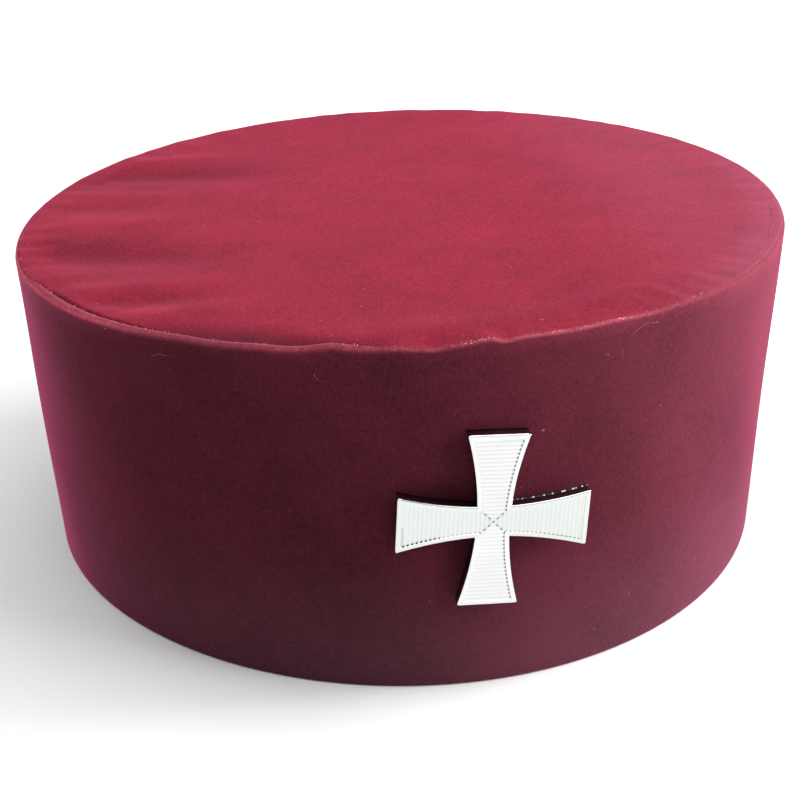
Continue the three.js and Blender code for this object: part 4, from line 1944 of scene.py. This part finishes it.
@dataclass
class EdgeFuzz:
    """Loose pile on the rolled edge: sparse all round, flecked at the front right, long at the seam."""

    form: CapForm
    groups: tuple[StrandGroup, ...] = (
        StrandGroup(2600, -270.0, 90.0, 76.0, 22.0, 0.15, 0.5, 0.07, 0.05),
        StrandGroup(240, -102.0, -58.0, 64.0, 8.0, 0.15, 0.5, 0.07, 0.3),
        StrandGroup(18, -94.5, -90.0, 62.0, 8.0, 0.25, 0.45, 0.16, 1.0),
        StrandGroup(46, -84.0, -66.0, 62.0, 8.0, 0.25, 0.45, 0.16, 1.0),
        StrandGroup(60, -164.0, -104.0, 112.0, 14.0, 0.4, 1.0, 0.08, 0.12),
    )
    seed: int = 41
    root_share: float = 0.9
    side_scatter: float = 0.7
    out_scatter: float = 0.3
    least_droop: float = 0.1
    most_droop: float = 0.5
    taper: float = 0.75
    nudge: float = 0.1
    lengthwise: int = 4
    sides: int = 3

    def surface(self) -> Surface:
        """Grows a bent tapered strand from each root on the roll.

        A strand starts square to the roll, leans by a random tilt and droops with the square of
        its length. Its girth falls from its root to its tip.

        Returns:
            All the strands as one shape.
        """
        form = self.form
        draw = np.random.default_rng(self.seed)
        rows = np.array([astuple(group) for group in self.groups])
        strands = np.repeat(rows[:, 1:], rows[:, 0].astype(int), axis=0)
        start, end, lean, lean_half, shortest, longest, thick, chance = strands.T[:, :, None]
        one_each = (len(strands), 1)
        angle = np.radians(start + (end - start) * draw.uniform(0.0, 1.0, one_each))
        lean = np.radians(lean + lean_half * draw.normal(0.0, 1.0, one_each))
        outward = round_points(1.0, angle[:, 0], 0.0)
        sideways = np.cross(UPWARD, outward)
        normal = outward * np.cos(lean) + UPWARD * np.sin(lean)
        tight = form.tightness * form.rubbed.at(angle) * form.roll * (1.0 - np.sin(lean))
        level = form.height - form.roll + form.edge_rise(angle) + form.edge_bumps(angle) + tight
        centre = outward * (form.wall_radius(angle) - form.roll) + UPWARD * level
        root = centre + normal * form.roll * self.root_share
        aside = sideways * draw.normal(0.0, self.side_scatter, one_each)
        heading = unit(normal + aside + outward * draw.normal(0.0, self.out_scatter, one_each))
        length = shortest + (longest - shortest) * draw.uniform(0.0, 1.0, one_each)
        droop = draw.uniform(self.least_droop, self.most_droop, one_each) * length
        share = np.linspace(0.0, 1.0, self.lengthwise)[None, :, None]
        line = root[:, None] + (heading * length)[:, None] * share - UPWARD * droop[:, None] * share**2
        across = unit(np.cross(heading, UPWARD + self.nudge * outward))
        other = np.cross(heading, across)
        around = ring_angles(self.sides)[None, None, :, None]
        girth = thick[:, :, None, None] / 2.0 * (1.0 - self.taper * share[..., None])
        ring = across[:, None, None] * np.cos(around) + other[:, None, None] * np.sin(around)
        pale = (draw.uniform(0.0, 1.0, one_each) < chance).astype(float)
        marks = {"pale": np.repeat(pale, self.lengthwise * self.sides)}
        return Surface.tubes(line[:, :, None] + ring * girth, marks)

    def dress(self, fibre: bpy.types.Material) -> bpy.types.Object:
        """Makes the fuzz's piece in its fibre."""
        return fit(self.surface().piece("edge_fuzz", [fibre]))


@dataclass(frozen=True)
class Hair:
    """One loose hair: where it starts on the wall, its first heading above level, and its bend."""

    angle: float
    below: float
    heading: float
    length: float
    bend: float


@dataclass
class LooseHairs:
    """A few hairs of lint that cling to the wall under its edge."""

    form: CapForm
    thick: float = 0.045
    taper: float = 0.6
    lift: float = 0.1
    bow: float = 0.25
    lengthwise: int = 14
    sides: int = 4
    hairs: tuple[Hair, ...] = (
        Hair(-71.2, 4.6, 50.0, 5.6, -50.0),
        Hair(-72.2, 6.4, -80.0, 2.6, -20.0),
        Hair(-67.9, 2.6, 15.0, 2.4, -35.0),
        Hair(-132.0, 5.2, 40.0, 6.0, -60.0),
        Hair(-110.6, 4.6, -65.0, 2.2, 30.0),
        Hair(-30.0, 9.0, 25.0, 5.0, -60.0),
        Hair(60.0, 14.0, -30.0, 4.5, 70.0),
        Hair(-205.0, 10.0, 50.0, 6.0, -70.0),
    )

    def surface(self) -> Surface:
        """Lays each hair along the wall as a thin tapered tube.

        Its heading turns evenly from the first heading by the whole bend, and the sums of the
        heading's cosine and sine are its ways round and up the wall. Its middle bows off the pile.

        Returns:
            All the hairs as one shape.
        """
        rows = np.array([astuple(hair) for hair in self.hairs])
        angle, below, heading, length, bend = rows.T[:, :, None]
        share = np.linspace(0.0, 1.0, self.lengthwise)[None, :]
        turn = np.radians(heading + bend * share)
        step = length / (self.lengthwise - 1)
        place = np.radians(angle) + np.cumsum(np.cos(turn), axis=1) * step / self.form.crown_radius
        height = self.form.height - below + np.cumsum(np.sin(turn), axis=1) * step
        off = self.lift + self.bow * np.sin(np.pi * share)
        radius = self.form.wall_radius(place, height / self.form.height) + off
        line = round_points(radius, place, height)
        outward = round_points(1.0, place, 0.0)
        across = unit(np.cross(np.gradient(line, axis=1), outward))
        girth = (self.thick / 2.0 * (1.0 - self.taper * share**2))[..., None, None]
        ring = ring_angles(self.sides)[None, None, :, None]
        spread = across[:, :, None] * np.cos(ring) + outward[:, :, None] * np.sin(ring)
        return Surface.tubes(line[:, :, None] + spread * girth)

    def dress(self, lint: bpy.types.Material) -> bpy.types.Object:
        """Makes the hairs' piece in its lint."""
        return fit(self.surface().piece("loose_hairs", [lint]))


@dataclass(frozen=True)
class SoftLight:
    """One square studio light that looks at the cap: its place and side in metres, and its watts."""

    name: str
    place: tuple[float, float, float]
    side: float
    power: float


@dataclass
class Studio:
    """Pale floor, soft lights and the camera at the photograph's angle."""

    azimuth: float = -9.97
    elevation: float = 23.09
    roll: float = -2.2
    distance: float = 387.17
    target_height: float = 43.83
    focal_pixels: float = 1410.35
    middle_pixel: tuple[float, float] = (402.81, 340.16)
    sensor_width: float = 36.0
    nearest: float = 10.0
    floor_half: float = 6000.0
    ambient: float = 0.2
    lights: tuple[SoftLight, ...] = (
        SoftLight("overhead", (0.0, 0.1, 2.5), 3.0, 120.0),
        SoftLight("right_side", (1.3, 0.05, 0.55), 0.8, 54.0),
        SoftLight("right_front", (1.25, -0.6, 0.65), 0.8, 32.0),
        SoftLight("left_side", (-0.85, 1.15, 0.32), 0.8, 16.0),
        SoftLight("front_card", (-0.3, -2.0, 1.2), 2.5, 12.0),
    )

    def camera(self) -> bpy.types.Object:
        """Makes the camera from the angles, the distance and the pixel that it faces.

        Returns:
            The camera.
        """
        turn, lift, lean = np.radians([self.azimuth, self.elevation, self.roll])
        back = np.array([np.sin(turn) * np.cos(lift), -np.cos(turn) * np.cos(lift), np.sin(lift)])
        right = unit(np.cross(-back, UPWARD))
        up = np.cross(right, -back)
        rolled_right = right * np.cos(lean) + up * np.sin(lean)
        rolled_up = up * np.cos(lean) - right * np.sin(lean)
        place = (UPWARD * self.target_height + back * self.distance) * MM
        lens = bpy.data.cameras.new("photo_camera")
        lens.sensor_width = self.sensor_width
        lens.lens = self.sensor_width * self.focal_pixels / PHOTO_SIDE
        lens.shift_x = (PHOTO_SIDE / 2.0 - self.middle_pixel[0]) / PHOTO_SIDE
        lens.shift_y = (self.middle_pixel[1] - PHOTO_SIDE / 2.0) / PHOTO_SIDE
        lens.clip_start = self.nearest * MM
        camera = bpy.data.objects.new("photo_camera", lens)
        turned = Matrix(np.stack([rolled_right, rolled_up, back], axis=1).tolist()).to_4x4()
        camera.matrix_world = Matrix.Translation(place.tolist()) @ turned
        bpy.context.scene.collection.objects.link(camera)
        bpy.context.scene.camera = camera
        return camera

    def floor(self) -> bpy.types.Object:
        """Lays the floor as one flat face.

        Returns:
            The floor.
        """
        corners = np.array([[-1.0, -1.0, 0.0], [1.0, -1.0, 0.0], [1.0, 1.0, 0.0], [-1.0, 1.0, 0.0]])
        shape = Surface(corners * self.floor_half, [np.arange(4)[None]], [0])
        floor = shape.piece("floor", [FloorFinish().material()])
        return floor

    def light(self) -> None:
        """Hangs the lights, turns them to the cap and sets the air's own light."""
        for row in self.lights:
            lamp = bpy.data.lights.new(row.name, "AREA")
            lamp.shape = "SQUARE"
            lamp.size = row.side
            lamp.energy = row.power
            hung = bpy.data.objects.new(row.name, lamp)
            hung.location = row.place
            towards = Vector((0.0, 0.0, self.target_height * MM)) - hung.location
            hung.rotation_euler = towards.to_track_quat("-Z", "Y").to_euler()
            bpy.context.scene.collection.objects.link(hung)
        world = bpy.data.worlds.new("studio_air")
        world.use_nodes = True
        air = world.node_tree.nodes["Background"]
        air.inputs["Color"].default_value = WHITE
        air.inputs["Strength"].default_value = self.ambient
        bpy.context.scene.world = world
        bpy.context.scene.view_settings.view_transform = "Standard"


def finishes() -> dict[str, bpy.types.Material]:
    """Builds each finish once.

    Returns:
        The materials by name.
    """
    wall = VelvetFinish(
        name="burgundy_wall_pile",
        plane=ClothPlane.ROUND_THE_WALL,
        deep=(0.029, 0.0035, 0.0066),
        bright=(0.068, 0.0088, 0.0165),
        # Turned colours of the wall paint part of the roll's sheen.
        turned_and_painted_deep=(0.19, 0.021, 0.038),
        turned_and_painted_bright=(0.34, 0.048, 0.08),
        worn=(0.42, 0.16, 0.2),
        sheen_tint=(0.45, 0.048, 0.142),
        sheen=0.72,
        sheen_roughness=0.34,
    )
    top = VelvetFinish(
        name="crimson_top_pile",
        plane=ClothPlane.ACROSS_THE_TOP,
        deep=(0.066, 0.0024, 0.0073),
        bright=(0.15, 0.007, 0.0194),
        # The top's turned colours are dark: painted shade of the pressed crease.
        turned_and_painted_deep=(0.022, 0.001, 0.003),
        turned_and_painted_bright=(0.045, 0.0025, 0.007),
        worn=(0.42, 0.16, 0.2),
        sheen_tint=(0.4, 0.051, 0.126),
        sheen=0.36,
        # Colour of the top's painted sheen.
        painted_sheen=(0.44, 0.32, 0.49),
        lint_from=0.765,
        lint_share=0.12,
        contrast=1.15,
        bump=0.45,
        tuft_weight=0.6,
        fibre_weight=1.5,
        lean=(1.0, 0.42, 1.0),
    )
    wanted = [
        wall,
        replace(wall, name="rolled_edge_pile", sheen=0.22),
        top,
        ReverseFinish(),
        MetalFinish("silver_plate", (0.7, 0.703, 0.7), (0.66, 0.665, 0.66), smooth=0.14, rough=0.26),
        MetalFinish("turned_post", (0.6, 0.61, 0.63), (0.45, 0.46, 0.48), smooth=0.3, rough=0.5),
        ThreadFinish("seam_thread", light=(0.16, 0.02, 0.04), dark=(0.07, 0.008, 0.016)),
        ThreadFinish("pile_fibre", light=(0.46, 0.13, 0.18), dark=(0.26, 0.05, 0.085)),
        ThreadFinish("lint_hair", light=(0.4, 0.18, 0.22), dark=(0.24, 0.08, 0.11)),
    ]
    return {finish.name: finish.material() for finish in wanted}


def main() -> None:
    """Builds the studio, then each piece of the cap in the order of its making."""
    logging.basicConfig(level=logging.INFO, format="%(name)s: %(message)s")
    studio = Studio()
    studio.camera()
    studio.floor()
    studio.light()
    form = CapForm()
    cloth = finishes()
    top = CrownTop(form)
    badge = CrossBadge(form)
    made = [
        SideWall(form).dress(cloth),
        top.dress(cloth["crimson_top_pile"], cloth["reverse_cloth"]),
        SeamStitching(form, top).dress(cloth["seam_thread"]),
        EdgeFuzz(form).dress(cloth["pile_fibre"]),
        LooseHairs(form).dress(cloth["lint_hair"]),
        badge.dress(cloth["silver_plate"]),
        BadgePost(badge).dress(cloth["turned_post"]),
    ]
    for piece in made:
        log.info("%s has %d faces", piece.name, len(piece.data.polygons))


if __name__ == "__main__":
    main()
